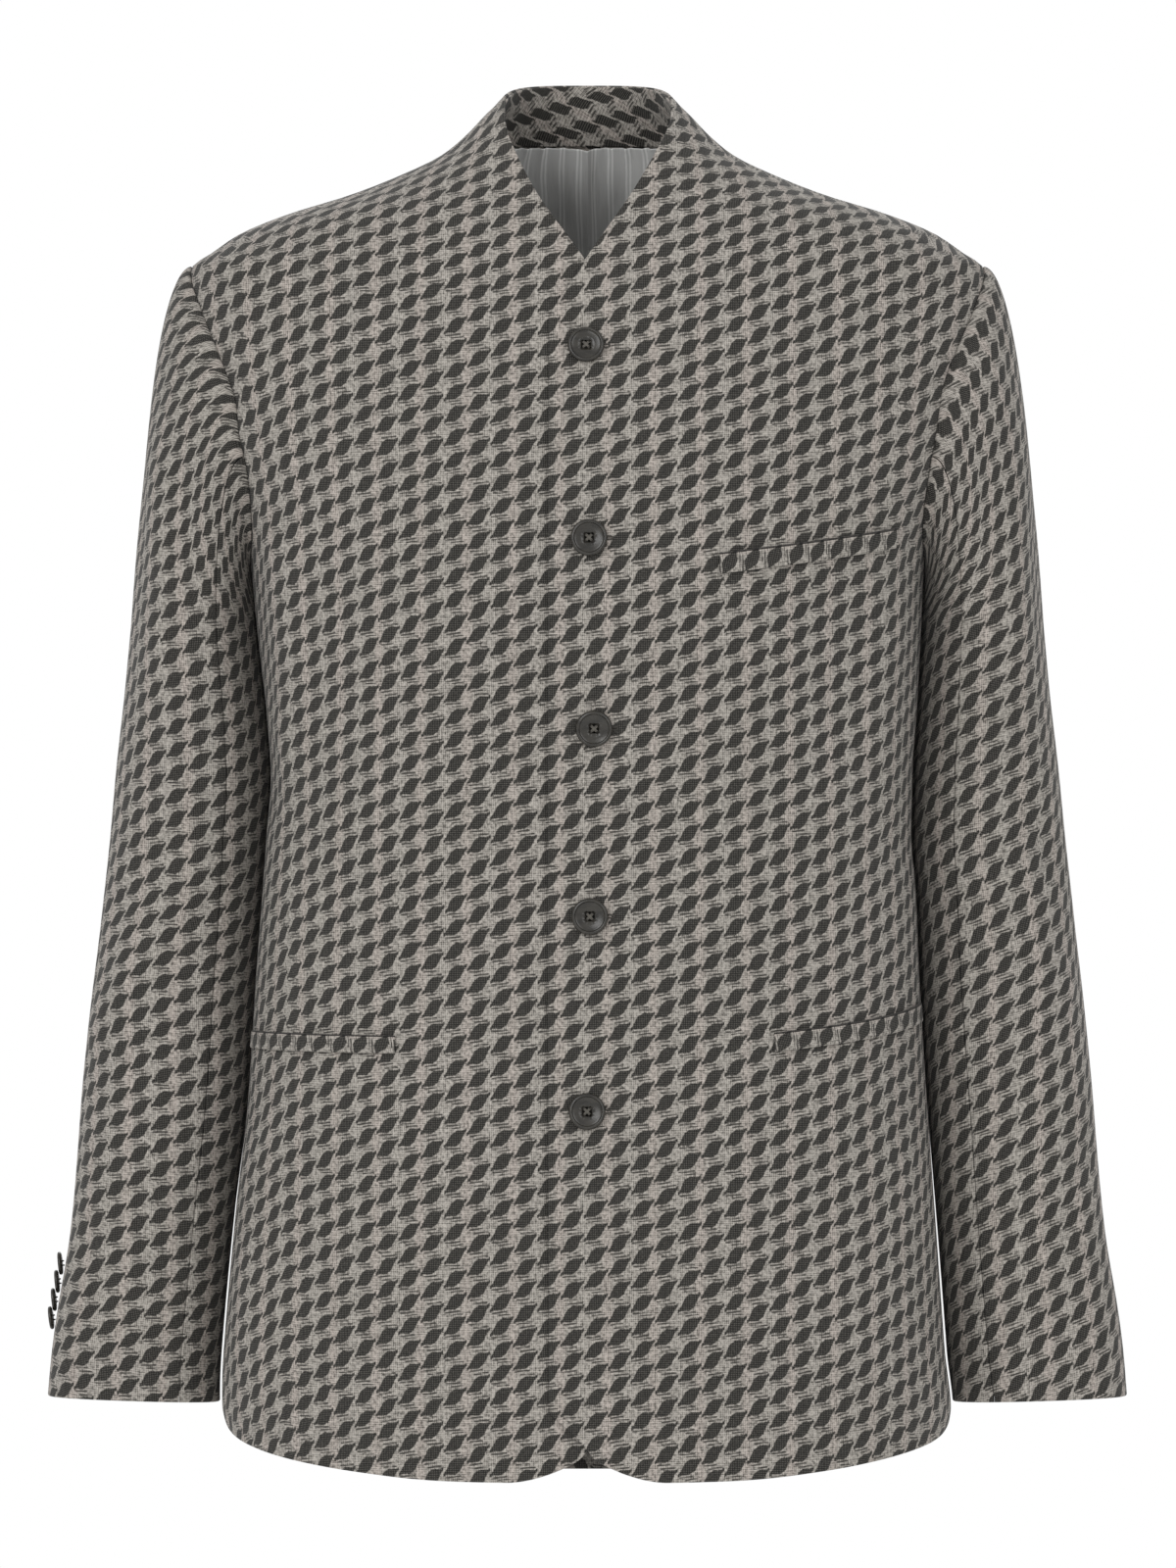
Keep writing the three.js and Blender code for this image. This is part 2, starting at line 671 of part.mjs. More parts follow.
// A welt lies on its front, made from the front's own points moved out
function weltWall(welt) {
  const places = frontPlaces(welt.side);
  const points = places.map((row) => row.map(({ side, angle, z }) => bodyPoint(side, angle, z)));
  const from = angleAtReach(welt.side, welt.x0, welt.z0);
  const to = angleAtReach(welt.side, welt.x1, welt.z1);
  const layer = (lift) => Array.from({ length: weltRows + 1 }, (_, r) => (
    Array.from({ length: weltColumns + 1 }, (__, i) => {
      const share = i / weltColumns;
      const angle = from + (to - from) * share;
      const z = welt.z0 + (welt.z1 - welt.z0) * share - welt.height * (r / weltRows);
      return pointOnPanel(places, points, angle, z).addScaledVector(bodyNormal(welt.side, angle, z), lift);
    })
  ));
  return wallGeometry(layer(weltGap + weltThickness), layer(weltGap));
}

function addWelts() {
  for (const welt of welts) addMesh(welt.name, weltWall(welt), wool);
}

// Buttons

// Half profile of a sewn-through button: flat back, rounded rim, sunk middle
function buttonProfile({ radius, height }) {
  const well = radius * 0.62;
  return [
    [0, 0],
    [radius * 0.8, 0],
    [radius * 0.97, height * 0.3],
    [radius, height * 0.58],
    [radius * 0.93, height * 0.9],
    [radius * 0.82, height],
    [radius * 0.7, height * 0.86],
    [well, height * 0.6],
    [0, height * 0.56],
  ].map(([r, h]) => new THREE.Vector2(r, h));
}

function plainSolid(geometry) {
  geometry.deleteAttribute('normal');
  geometry.deleteAttribute('uv');
  return mergeVertices(geometry, 1e-4);
}

function toManifold(geometry) {
  return new wasm.Manifold(new wasm.Mesh({
    numProp: 3,
    vertProperties: new Float32Array(geometry.attributes.position.array),
    triVerts: new Uint32Array(geometry.index.array),
  }));
}

function fromManifold(solid) {
  const mesh = solid.getMesh();
  const geometry = new THREE.BufferGeometry();
  geometry.setAttribute('position', new THREE.Float32BufferAttribute(mesh.vertProperties, 3));
  geometry.setIndex([...mesh.triVerts]);
  return geometry;
}

// The button's axis is +Z here, with its back at the origin
function buttonBlank(size) {
  const geometry = plainSolid(new THREE.LatheGeometry(buttonProfile(size), size.sides));
  geometry.rotateX(Math.PI / 2);
  return outwardFacing(geometry);
}

// Four sewing holes through the middle
function drilledButton(size) {
  let solid = toManifold(buttonBlank(size));
  for (const [i, j] of [[1, 1], [1, -1], [-1, 1], [-1, -1]]) {
    const hole = plainSolid(new THREE.CylinderGeometry(size.holeRadius, size.holeRadius, size.height * 3, 6));
    hole.rotateX(Math.PI / 2);
    hole.translate(i * size.holeSpread, j * size.holeSpread, 0);
    solid = solid.subtract(toManifold(outwardFacing(hole)));
  }
  return fromManifold(solid);
}

// Turns a mesh so that its +Z looks along a direction, and sets it down at a point
function placeAlong(mesh, point, direction) {
  mesh.position.copy(point);
  mesh.quaternion.setFromUnitVectors(new THREE.Vector3(0, 0, 1), direction.clone().normalize());
}

function addFrontButtons() {
  frontButtons.forEach(({ x, z }, i) => {
    const angle = angleAtReach(1, x, z);
    const normal = bodyNormal(1, angle, z);
    const mesh = addMesh(`front_button_${i + 1}`, drilledButton(frontButton), horn);
    placeAlong(mesh, bodyPoint(1, angle, z).addScaledVector(normal, shankGap), normal);
  });
}

// The cuff's buttons lie over each other like tiles, so each is tipped the same way
function addCuffButtons() {
  const tip = cuffButtons.tilt * deg;
  for (const side of [1, -1]) {
    const word = side > 0 ? 'left' : 'right';
    const turn = cuffButtons.turn[word] * deg;
    for (let i = 0; i < cuffButtons.count; i += 1) {
      const z = cuffButtons.topZ - i * cuffButtons.pitch;
      const along = 1 + (z - sleeveTopZ) / (cuffZ - sleeveTopZ);
      const normal = sleeveNormal(side, turn, along);
      const down = new THREE.Vector3(0, 0, -1).addScaledVector(normal, normal.z).normalize();
      const axis = normal.clone().multiplyScalar(Math.cos(tip)).addScaledVector(down, Math.sin(tip));
      const seat = cuffButton.radius * Math.sin(tip) + shankGap;
      const mesh = addMesh(`cuff_button_${word}_${i + 1}`, buttonBlank(cuffButton), horn);
      placeAlong(mesh, sleevePoint(side, turn, along).addScaledVector(normal, seat), axis);
    }
  }
}

addFrontsAndBacks();
addCollar();
addLining();
addSleeves();
addWelts();
addFrontButtons();
addCuffButtons();

export default group;
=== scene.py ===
import math

import bpy
import numpy as np
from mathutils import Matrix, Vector


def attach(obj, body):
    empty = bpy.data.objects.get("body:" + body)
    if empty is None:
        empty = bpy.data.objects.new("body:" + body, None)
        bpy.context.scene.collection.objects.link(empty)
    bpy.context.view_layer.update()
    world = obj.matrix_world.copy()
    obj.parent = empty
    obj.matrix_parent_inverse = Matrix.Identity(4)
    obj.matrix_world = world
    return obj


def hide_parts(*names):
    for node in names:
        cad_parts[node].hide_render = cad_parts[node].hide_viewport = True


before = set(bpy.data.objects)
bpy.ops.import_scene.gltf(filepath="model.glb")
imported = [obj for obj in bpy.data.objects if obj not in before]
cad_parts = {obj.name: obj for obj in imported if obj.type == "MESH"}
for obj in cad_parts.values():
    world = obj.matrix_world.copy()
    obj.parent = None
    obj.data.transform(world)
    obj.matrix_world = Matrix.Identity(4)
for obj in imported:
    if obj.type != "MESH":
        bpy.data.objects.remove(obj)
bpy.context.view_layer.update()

# A collarless wool blazer filled out as worn. Sizes are in millimetres here and in metres in Blender.

mm = 0.001
deg = math.pi / 180

cloth = {
    "wall": 2.0,
    "facing": 1.5,
    "lining": 1.0,
    "liningClear": 1.9,  # between the back and its lining
    "overlap": 0.4,  # past the seam lines, so that no light comes through
    "allowance": 3.0,  # of the body under the sleeve's head
    "seam": 0.3,
    "lapGap": 0.6,  # between the two fronts where they lap
}

body = {
    "power": 2.4,  # how square the level sections are
    "shoulderZ": -63.2,
    "underarmZ": -232.0,
    "armholeDepth": 62.0,
    "armholeEgg": 0.12,
    "hemStartZ": -600.0,
    "frontHemZ": -726.4,
    "foldRound": 140.0,  # radius on which the folds are laid out
    "foldFade": 60.0,
    "lapInner": 26.0,
    "lapOuter": 64.0,
    "lapTopZ": -30.0,
    "ripple": 0.22,  # unevenness of the cloth
}


def table(columns, rows):
    # Rows of numbers become one array for each named column
    return dict(zip(columns.split(), np.array(rows, float).T))


bodySections = table("z half front back shift", [
    [42, 43.5, 44, 58, 0],
    [29.7, 47.5, 46, 60, 0],
    [18.9, 57.5, 50, 62, 0],
    [8.1, 67.8, 55, 65, 0],
    [-2.7, 81.3, 61, 70, 0],
    [-13.5, 103.7, 68, 76, 0],
    [-24.3, 131.2, 75, 83, 0],
    [-35.1, 166, 82, 90, 0],
    [-45.9, 192, 88, 96, 0],
    [-56.7, 207.9, 94, 101, 0],
    [-63.2, 217.4, 97, 104, 0],
    [-76, 220.5, 102, 109, 0],
    [-90, 220.2, 107, 113, 0],
    [-112, 216.7, 114, 118, 0],
    [-134, 211.2, 121, 122, 0],
    [-157, 206, 128, 125, 0],
    [-181, 198.1, 133, 127, 0],
    [-200, 191.6, 136, 127, 0],
    [-216, 187.6, 137, 127, 0],
    [-236, 185, 138, 126, 0.2],
    [-258, 183.3, 137, 124, 0.8],
    [-286, 181, 135, 120, 1.6],
    [-310, 179, 132, 116, 2.3],
    [-345, 176.7, 128, 111, 2.3],
    [-381, 177.8, 125, 108, 0.7],
    [-403, 179.6, 124, 107, 0.9],
    [-460, 183, 124, 109, 0],
    [-521, 186.8, 127, 114, 0],
    [-584, 192.5, 131, 119, -1.2],
    [-659, 198.5, 134, 122, -1.8],
    [-690, 200.6, 135, 123, -0.5],
    [-706, 198, 135, 123, 0],
    [-740, 196, 135, 124, 0],
])

# Inner edge of each front, measured towards its own side
frontEdges = table("z left right", [
    [29.7, 46.6, 46.2],
    [19.2, 46.5, 45.9],
    [10, 43.8, 44.4],
    [0, 38.6, 40.4],
    [-9, 33.6, 36.3],
    [-24.6, 24.5, 28.1],
    [-62.7, -1.3, 1.3],
    [-74.4, -8.4, -6.4],
    [-85.6, -16, -15],
    [-96, -21, -21],
    [-420, -21.5, -21.5],
    [-640, -21, -21],
])

cornerCurve = table("above reach", [
    [70, -21],
    [38.5, -20.4],
    [33.2, -15.7],
    [27.4, -8.6],
    [20.2, -2.2],
    [12.6, 4.5],
    [7.5, 13.7],
    [2.4, 27.8],
    [0.3, 38.5],
    [0, 42.7],
])

hemCurve = table("depth front back", [
    [0, -697, -697],
    [0.3, -705.6, -706.5],
    [0.5, -710.9, -713.5],
    [0.7, -716.6, -720.5],
    [0.85, -721.6, -727.5],
    [0.95, -725.4, -731.5],
    [1, -726.4, -732.2],
])

# Soft folds. angle: degrees from the side line, front negative. The first ones are the solids' own,
# the narrow ones are creases of the cloth.
bodyFolds = table("side angle0 z0 angle1 z1 height width", [
    [1, -34, -170, -30, -400, 2.4, 17],
    [1, -48, -215, -43, -350, -1.8, 18],
    [-1, -32, -175, -24, -380, 2.6, 16],
    [-1, -45, -230, -38, -330, -1.6, 17],
    [1, -26, -430, -30, -560, -1.6, 22],
    [-1, -20, -520, -26, -690, 2.0, 24],
    [1, -40, -560, -44, -700, 1.8, 26],
    [1, 38, -218, 32, -400, 2.8, 18],
    [-1, 40, -225, 33, -420, 2.6, 18],
    [1, 60, -330, 66, -480, -2.4, 22],
    [-1, 58, -350, 64, -470, -2.2, 24],
    [1, 48, -520, 50, -700, 2.6, 26],
    [-1, 50, -540, 47, -700, 2.4, 25],
    [-1, -22, -118, -37, -163, -0.9, 7],
    [-1, -24, -150, -41, -181, 0.8, 8],
    [-1, -25, -190, -38, -228, -0.8, 7],
    [1, -23, -112, -36, -150, -0.7, 7],
    [1, -27, -168, -42, -214, 0.8, 9],
    [1, -24, -205, -33, -262, -0.9, 8],
    [-1, -8, -300, -31, -335, 0.9, 9],
    [1, -8, -318, -29, -342, 0.8, 9],
    [-1, -6, -372, -26, -352, -0.8, 8],
    [1, -10, -392, -33, -374, -0.7, 9],
    [1, -60, -560, -66, -690, -0.8, 12],
    [-1, -62, -540, -57, -660, 0.8, 13],
    [1, 26, -120, 40, -168, -0.9, 8],
    [-1, 25, -126, 41, -176, -0.9, 8],
    [1, 10, -305, 35, -340, 1.0, 9],
    [-1, 12, -318, 38, -348, 0.9, 10],
    [1, 70, -120, 50, -190, 0.8, 12],
    [-1, 72, -130, 54, -205, 0.7, 11],
])

sleeveSections = table("z outer middle front back", [
    [-262, 251.8, 22, 74, 76],
    [-294, 255.2, 23, 70, 72],
    [-337, 260.3, 25, 66, 67],
    [-381, 264.1, 26, 63, 62],
    [-424, 268.9, 26, 61, 58],
    [-467, 274.1, 24, 58, 54],
    [-510, 278.1, 21, 55, 50],
    [-554, 281.6, 17, 51, 46],
    [-597, 285.9, 13, 47, 43],
    [-640, 292.4, 10, 43, 41],
    [-662, 295.1, 9, 41, 40],
    [-690, 297.6, 8, 39, 39],
])

# turn: degrees round the sleeve from its outer edge, front positive
sleeveFolds = table("side turn0 z0 turn1 z1 height width", [
    [1, 30, -120, 66, -300, 2.2, 15],
    [1, 82, -330, 34, -410, -2.6, 12],
    [1, 78, -430, 28, -470, 2.2, 12],
    [1, 20, -540, 70, -600, -1.8, 14],
    [1, -70, -380, -20, -430, -2.2, 14],
    [-1, 36, -130, 70, -320, 2.4, 15],
    [-1, 88, -370, 30, -430, -2.8, 12],
    [-1, 70, -440, 18, -500, 2.4, 13],
    [-1, 30, -590, 76, -640, -2.0, 14],
    [-1, -66, -370, -24, -440, -2.4, 14],
    [-1, 60, -150, 92, -235, -0.9, 7],
    [-1, 20, -160, 44, -262, -0.8, 8],
    [1, 55, -150, 88, -228, -0.8, 7],
    [1, 12, -175, 30, -290, -0.7, 9],
    [-1, 100, -400, 66, -452, 0.9, 7],
    [1, 104, -395, 62, -438, 0.9, 7],
    [1, 60, -640, 20, -668, 0.6, 8],
    [-1, 66, -655, 26, -676, 0.6, 8],
    [1, -120, -380, -80, -420, 1.2, 9],
    [-1, -118, -390, -82, -436, 1.2, 9],
])

sleeve = {
    "power": 2.3,
    "topZ": -262.0,
    "cuffZ": -687.0,
    "clearance": 1.6,
    "cuffTilt": 1.6,
    "tuck": 1.3,  # towards the body under the arm, where a slit would show light
    "foldRound": 55.0,
    "frontTop": 105.0,
    "frontCuff": 122.0,
    "backTop": -75.0,
    "backCuff": {1: -36.0, -1: -12.0},
    "grain": {1: (0.12, 0.22), -1: (0.0, -0.11)},  # slant of the weft at the head and at the cuff
}

# From the armhole the cloth runs out by reach, along a direction that changes from top to bottom, and comes
# down into the first level section by drop
sleeveHead = {
    "sideways": (0.93, 0.05),
    "forward": 0.3,
    "upward": (-0.1, 0.16),
    "reach": 20.0,
    "reachOver": (2.0, -6.0),
    "reachUnder": 17.0,
    "drop": 46.0,
    "dropOver": 66.0,
    "dropUnder": 34.0,
    "lean": 0.07,
}

collar = {
    "seamZ": 2.0,
    "topSide": 28.8,
    "topBack": 39.8,
    "facingZ": 7.0,
    "facingTurn": 38.0,  # the facing's grain is turned
}

pleat = {"depth": 3.0, "x": -3.0, "width": 7.0, "fadeZ": -330.0, "fullZ": -120.0}
drapes = {"topZ": 5.0, "puckerFade": 16.0, "hangFade": 110.0, "crease": 3.4, "creaseX": 0.5, "creaseWidth": 1.8}

welts = [
    {"name": "chestWelt", "node": "chest_welt", "side": 1, "x": (71.4, 166.6), "z": (-223.3, -208.4),
     "height": 11.5},
    {"name": "leftPocketWelt", "node": "pocket_welt_left", "side": 1, "x": (100.8, 181.5),
     "z": (-483.2, -468.2), "height": 10.5},
    {"name": "rightPocketWelt", "node": "pocket_welt_right", "side": -1, "x": (104.0, 182.6),
     "z": (-484.8, -483.4), "height": 9.8},
]
weltLook = {"thickness": 2.3, "lift": 0.1, "rowHeight": 11.0, "mouthShadow": 0.9}

frontButtons = table("x z", [[-0.8, -110.7], [0.8, -215.2], [3.5, -318.1], [1.3, -420], [-0.3, -525.6]])
frontButton = {"radius": 10.0, "height": 3.8, "holeRadius": 0.95, "holeSpread": 1.75, "lift": 0.3}
cuffButton = {"radius": 6.4, "height": 2.2, "holeRadius": 0.7, "holeSpread": 1.25}
cuffButtons = {"count": 4, "topZ": -614.5, "pitch": 10.0, "tilt": 15.0, "turn": {1: -44.0, -1: -4.0},
               "lift": 0.3}
stitch = {"lift": 0.35, "cross": 0.12, "dipFrom": 0.82, "dip": 15.2, "spread": 0.33, "radius": 0.2}
dishShare = 0.57  # height of the face's middle in a button's height
buttonhole = {"from": 2.0, "to": 13.0, "halfHeight": 0.9, "stitch": 0.42, "lift": 0.2}

weave = {
    "pitch": 12.7,
    "offset": 0.53,  # how much higher the odd columns' lozenges are, in pitches
    "u0": -71.7,
    "v0": -248.7,
    "ground": (190, 184, 176),
    "warm": (198, 187, 179),
    "dark": (27, 26, 24),
    "speck": (112, 109, 103),
    "dash": (46, 44, 41),
    "green": (143, 146, 133),  # of the large soft patches
    "shadow": (70, 67, 62),  # between the yarns
    "lean": 0.50,  # of a lozenge, to the right on its way up
    "halfWidth": 0.30,
    "halfHeight": 0.355,
    "corner": 0.66,  # how far the upper left and lower right corners are cut
    "dashLean": 0.12,
    "speckPitch": 1.9,
    "gridPitch": (1.15, 1.20),
}

# Thin dark dashes round the lozenges of even and odd columns, in pitches from a lozenge's middle
evenDashes = [
    {"height": -0.425, "middle": -0.10, "halfWidth": 0.34, "thickness": 0.040},
    {"height": 0.45, "middle": 0.10, "halfWidth": 0.28, "thickness": 0.030},
]
oddDashes = [
    {"height": 0.42, "middle": 0.10, "halfWidth": 0.32, "thickness": 0.038},
    {"height": -0.42, "middle": -0.10, "halfWidth": 0.29, "thickness": 0.036},
]

satinLook = {"period": 10.4, "stripes": (0.40, 0.62), "halfStripe": 0.060, "ground": (212, 212, 210),
             "stripe": (250, 250, 248), "shadow": (110, 110, 110)}


# Curves and sections


# 0 before the start, 1 past the end, and an S curve between them
def smoothStep(start, end, value):
    t = np.clip((value - start) / (end - start), 0, 1)
    return t * t * (3 - 2 * t)


# A cubic between neighbours, whose slopes are the harmonic mean of the rises on both sides
def smoothCurve(xs, ys, at):
    order = np.argsort(xs)
    xs, ys = xs[order], ys[order]
    width = np.diff(xs)
    rise = np.diff(ys) / width
    before, after = rise[:-1], rise[1:]
    total = np.where(before + after == 0, 1, before + after)
    inner = np.where(before * after > 0, 2 * before * after / total, 0)
    slope = np.concatenate([rise[:1], inner, rise[-1:]])
    at = np.clip(at, xs[0], xs[-1])
    i = np.clip(np.searchsorted(xs, at, side="right") - 1, 0, len(xs) - 2)
    t = (at - xs[i]) / width[i]
    s = 1 - t
    ends = s * s * (1 + 2 * t) * ys[i] + t * t * (3 - 2 * t) * ys[i + 1]
    return ends + width[i] * t * s * (s * slope[i] - t * slope[i + 1])


# Each fold is its height times a bell curve of the distance from its line, faded at both ends
def foldHeight(folds, side, turn, z, radius, names):
    total = np.zeros(np.broadcast(turn, z).shape)
    for k in range(len(folds["side"])):
        ax, bx = folds[names[0]][k] * deg * radius, folds[names[1]][k] * deg * radius
        dx, dz = bx - ax, folds["z1"][k] - folds["z0"][k]
        along = ((turn * radius - ax) * dx + (z - folds["z0"][k]) * dz) / (dx * dx + dz * dz)
        held = np.clip(along, 0, 1)
        away = np.hypot(turn * radius - ax - held * dx, z - folds["z0"][k] - held * dz)
        fade = smoothStep(0, 0.25, held) * smoothStep(1, 0.75, held)
        bell = folds["height"][k] * fade * np.exp(-((away / folds["width"][k]) ** 2))
        total = total + np.where(side == folds["side"][k], bell, 0)
    return total


# Half width, depth to the front and to the back, and shift to the side of the level section at z
def readSections(z):
    names = ("half", "front", "back", "shift")
    return (smoothCurve(bodySections["z"], bodySections[name], z) for name in names)


# On a superellipse, the share along one axis from the share along the other
def otherShare(share):
    return np.clip(1 - np.abs(share) ** body["power"], 0, None) ** (1 / body["power"])


# Angle of the front's point that is x from the middle
def angleAtReach(side, x, z):
    half, _, _, shift = readSections(z)
    share = (x - side * shift) / half
    return np.arctan2(-otherShare(share), share)


# Angle of the point that is y in front of the side line, or behind it
def angleAtDepth(y, z):
    _, front, back, _ = readSections(z)
    share = np.abs(y) / np.where(y < 0, front, back)
    return np.arctan2(np.sign(y) * share, otherShare(share))


# The under front sinks by a wall and a gap where the upper one lies on it
def lapSink(side, x, z):
    sink = cloth["wall"] + cloth["lapGap"]
    spread = smoothStep(body["lapOuter"], body["lapInner"], x)
    return np.where(side < 0, sink * spread * smoothStep(body["lapTopZ"], body["shoulderZ"], z), 0)


# Sums of long waves, so that no stretch of cloth is quite even
def ripple(a, z):
    waves = np.sin(a * 7.1 + z * 0.031) + np.sin(a * 11.3 - z * 0.023 + 1.7)
    waves = waves + np.sin(a * 4.3 + z * 0.061 + 0.6)
    return body["ripple"] * waves


# Superellipse: both coordinates come from the angle's cosine and sine over their power sum
def bodyPoint(side, angle, z):
    half, front, back, shift = readSections(z)
    c, s = np.cos(angle), np.sin(angle)
    size = (np.abs(c) ** body["power"] + np.abs(s) ** body["power"]) ** (-1 / body["power"])
    calm = smoothStep(body["shoulderZ"], body["shoulderZ"] - body["foldFade"], z)
    lift = foldHeight(bodyFolds, side, angle, z, body["foldRound"], ("angle0", "angle1"))
    lift = lift + ripple(side * angle, z) * smoothStep(1, 0.9, np.cos(angle))
    lift = lift * calm
    x = half * c * size
    y = np.where(s < 0, front, back) * s * size
    y = y + np.where(s < 0, lapSink(side, x, z), 0)
    return np.stack(np.broadcast_arrays(side * (x + lift * c) + shift, y + lift * s, z), -1)


# Vectors of length one
def unit(vectors):
    return vectors / np.maximum(np.linalg.norm(vectors, axis=-1, keepdims=True), 1e-9)


# Cross product of the steps to close neighbours
def bodyNormal(side, angle, z):
    du = bodyPoint(side, angle + 1e-3, z) - bodyPoint(side, angle - 1e-3, z)
    dv = bodyPoint(side, angle, z + 0.2) - bodyPoint(side, angle, z - 0.2)
    return unit(np.cross(du, dv)) * np.asarray(side)[..., None]


# The armhole is an oval in the side view, wider at its front
def armholeZ(turn):
    middle = (body["shoulderZ"] + body["underarmZ"]) / 2
    return middle + (body["shoulderZ"] - body["underarmZ"]) / 2 * np.cos(turn)


def armholeY(turn):
    return -body["armholeDepth"] * np.sin(turn) * (1 - body["armholeEgg"] * np.cos(turn))


# Height of the hem under a point, from its share of the depth
def hemAt(angle):
    c, s = np.abs(np.cos(angle)), np.abs(np.sin(angle))
    share = s / (c ** body["power"] + s ** body["power"]) ** (1 / body["power"])
    front = smoothCurve(hemCurve["depth"], hemCurve["front"], share)
    return np.where(angle < 0, front, smoothCurve(hemCurve["depth"], hemCurve["back"], share))


# Meshes

# Millimetres from an edge where the rounding needs a line of points
edgeSteps = np.array([0.0, 0.1, 0.4, 0.9])


# Even shares from 0 to 1 with the edge steps added at both ends
def sharesOf(length, count, start=True, end=True):
    length = np.asarray(length, float)[..., None]
    steps = edgeSteps / length
    low = steps if start else steps[..., :1]
    high = 1 - steps[..., ::-1] if end else 1 - steps[..., :1]
    lowEnd, highEnd = low[..., -1:], high[..., :1]
    inner = lowEnd + (highEnd - lowEnd) * np.linspace(0, 1, count + 2)[1:-1]
    return np.concatenate([low, inner, high], -1)


# A mesh from whole arrays of points and faces, in the shared frame
def newObject(name, points, faces, material, uv=None, smooth=True):
    mesh = bpy.data.meshes.new(name)
    vertices = np.asarray(points, float).reshape(-1, 3) * mm
    faces = [np.asarray(f) for f in faces if len(f)]
    loops = np.concatenate([f.ravel() for f in faces])
    totals = np.concatenate([np.full(len(f), f.shape[1]) for f in faces])
    mesh.vertices.add(len(vertices))
    mesh.vertices.foreach_set("co", vertices.ravel())
    mesh.loops.add(len(loops))
    mesh.loops.foreach_set("vertex_index", loops.astype(np.int32))
    mesh.polygons.add(len(totals))
    starts = np.concatenate([[0], np.cumsum(totals)[:-1]]).astype(np.int32)
    mesh.polygons.foreach_set("loop_start", starts)
    mesh.polygons.foreach_set("use_smooth", np.full(len(totals), smooth))
    mesh.update(calc_edges=True)
    if uv is not None:
        layer = mesh.uv_layers.new(name="weave")
        layer.data.foreach_set("uv", (np.asarray(uv).reshape(-1, 2) * mm)[loops].ravel())
    mesh.materials.append(material)
    mesh.validate()
    piece = bpy.data.objects.new(name, mesh)
    bpy.context.scene.collection.objects.link(piece)
    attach(piece, "root")
    return piece


# Faces run outward when the volume that they enclose is positive
def outward(points, faces):
    p = np.asarray(points, float).reshape(-1, 3)
    volume = 0.0
    for f in faces:
        f = np.asarray(f)
        for k in range(1, f.shape[1] - 1):
            volume += np.einsum("ij,ij->", p[f[:, 0]], np.cross(p[f[:, k]], p[f[:, k + 1]]))
    return faces if volume > 0 else [np.asarray(f)[:, ::-1] for f in faces]


# Four-sided faces between neighbouring points of a grid
def gridQuads(index):
    a, b, c, d = index[:-1, :-1], index[1:, :-1], index[1:, 1:], index[:-1, 1:]
    return np.stack([a, b, c, d], -1).reshape(-1, 4)


# A closed wall round a grid: both layers share their border, and draw together there in a half round edge
def shell(name, surface, normal, depth, thickness, fromEdge, uv, material, inside=None):
    rows, columns = surface.shape[:2]
    radius = thickness / 2
    near = np.clip(1 - fromEdge / radius, 0, 1)
    inset = (radius * (1 - np.sqrt(1 - near ** 2)))[..., None]
    outer = surface - normal * (depth + inset)
    inner = surface - normal * (depth + thickness - inset)
    top = np.arange(rows * columns).reshape(rows, columns)
    under = top.copy()
    under[1:-1, 1:-1] = rows * columns + np.arange((rows - 2) * (columns - 2)).reshape(rows - 2, columns - 2)
    points = np.concatenate([outer.reshape(-1, 3), inner[1:-1, 1:-1].reshape(-1, 3)])
    allUv = np.concatenate([uv.reshape(-1, 2), uv[1:-1, 1:-1].reshape(-1, 2)])
    faces = [gridQuads(top), gridQuads(under)[:, ::-1]]
    piece = newObject(name, points, outward(points, faces), material, allUv)
    if inside:
        piece.data.materials.append(inside)
        piece.data.polygons.foreach_set("material_index", np.repeat([0, 1], [len(faces[0]), len(faces[1])]))
    return piece


# Lengths along the rows or columns of a grid, from its start
def arcs(points, axis):
    lengths = np.linalg.norm(np.diff(points, axis=axis), axis=-1)
    start = np.zeros_like(np.take(lengths, [0], axis=axis))
    return np.concatenate([start, np.cumsum(lengths, axis=axis)], axis=axis)


# A piece's cut: its longest row, its longest column and its own area
def declareSheet(surface):
    width = arcs(surface, 1)[:, -1].max() * mm
    length = arcs(surface, 0)[-1].max() * mm
    du = surface[:-1, 1:] - surface[:-1, :-1]
    dv = surface[1:, :-1] - surface[:-1, :-1]
    area = np.linalg.norm(np.cross(du, dv), axis=-1).sum() * mm * mm
    width = max(width, area / length)


# Distance of each point from the nearest border of its grid
def borderDistance(surface):
    across, down = arcs(surface, 1), arcs(surface, 0)
    sides = np.minimum(across, across[:, -1:] - across)
    return np.minimum(sides, np.minimum(down, down[-1:] - down))


# Rotation of the cloth's coordinates
def turned(uv, degrees):
    c, s = math.cos(degrees * deg), math.sin(degrees * deg)
    return np.stack([uv[..., 0] * c - uv[..., 1] * s, uv[..., 0] * s + uv[..., 1] * c], -1)


# Length of cloth from a fixed height up to z, at a fixed distance x from the middle
def heightOnCloth(x, z, column):
    level = -200.0
    steps = np.linspace(0, 1, 25)
    zs = level + (z - level)[..., None] * steps
    half = smoothCurve(bodySections["z"], bodySections["half"], zs)
    reach = smoothCurve(bodySections["z"], bodySections[column], zs)
    y = reach * otherShare(np.minimum(np.abs(x)[..., None] / half, 0.93))
    length = np.hypot(np.diff(y, axis=-1), np.diff(zs, axis=-1)).sum(-1)
    return level + np.sign(z - level) * length


# Shader expressions


# Linear colour from the screen's 0 to 255
def rgb(values):
    linear = [((v / 255 + 0.055) / 1.055) ** 2.4 if v > 10 else v / 255 / 12.92 for v in values]
    return (*linear, 1.0)


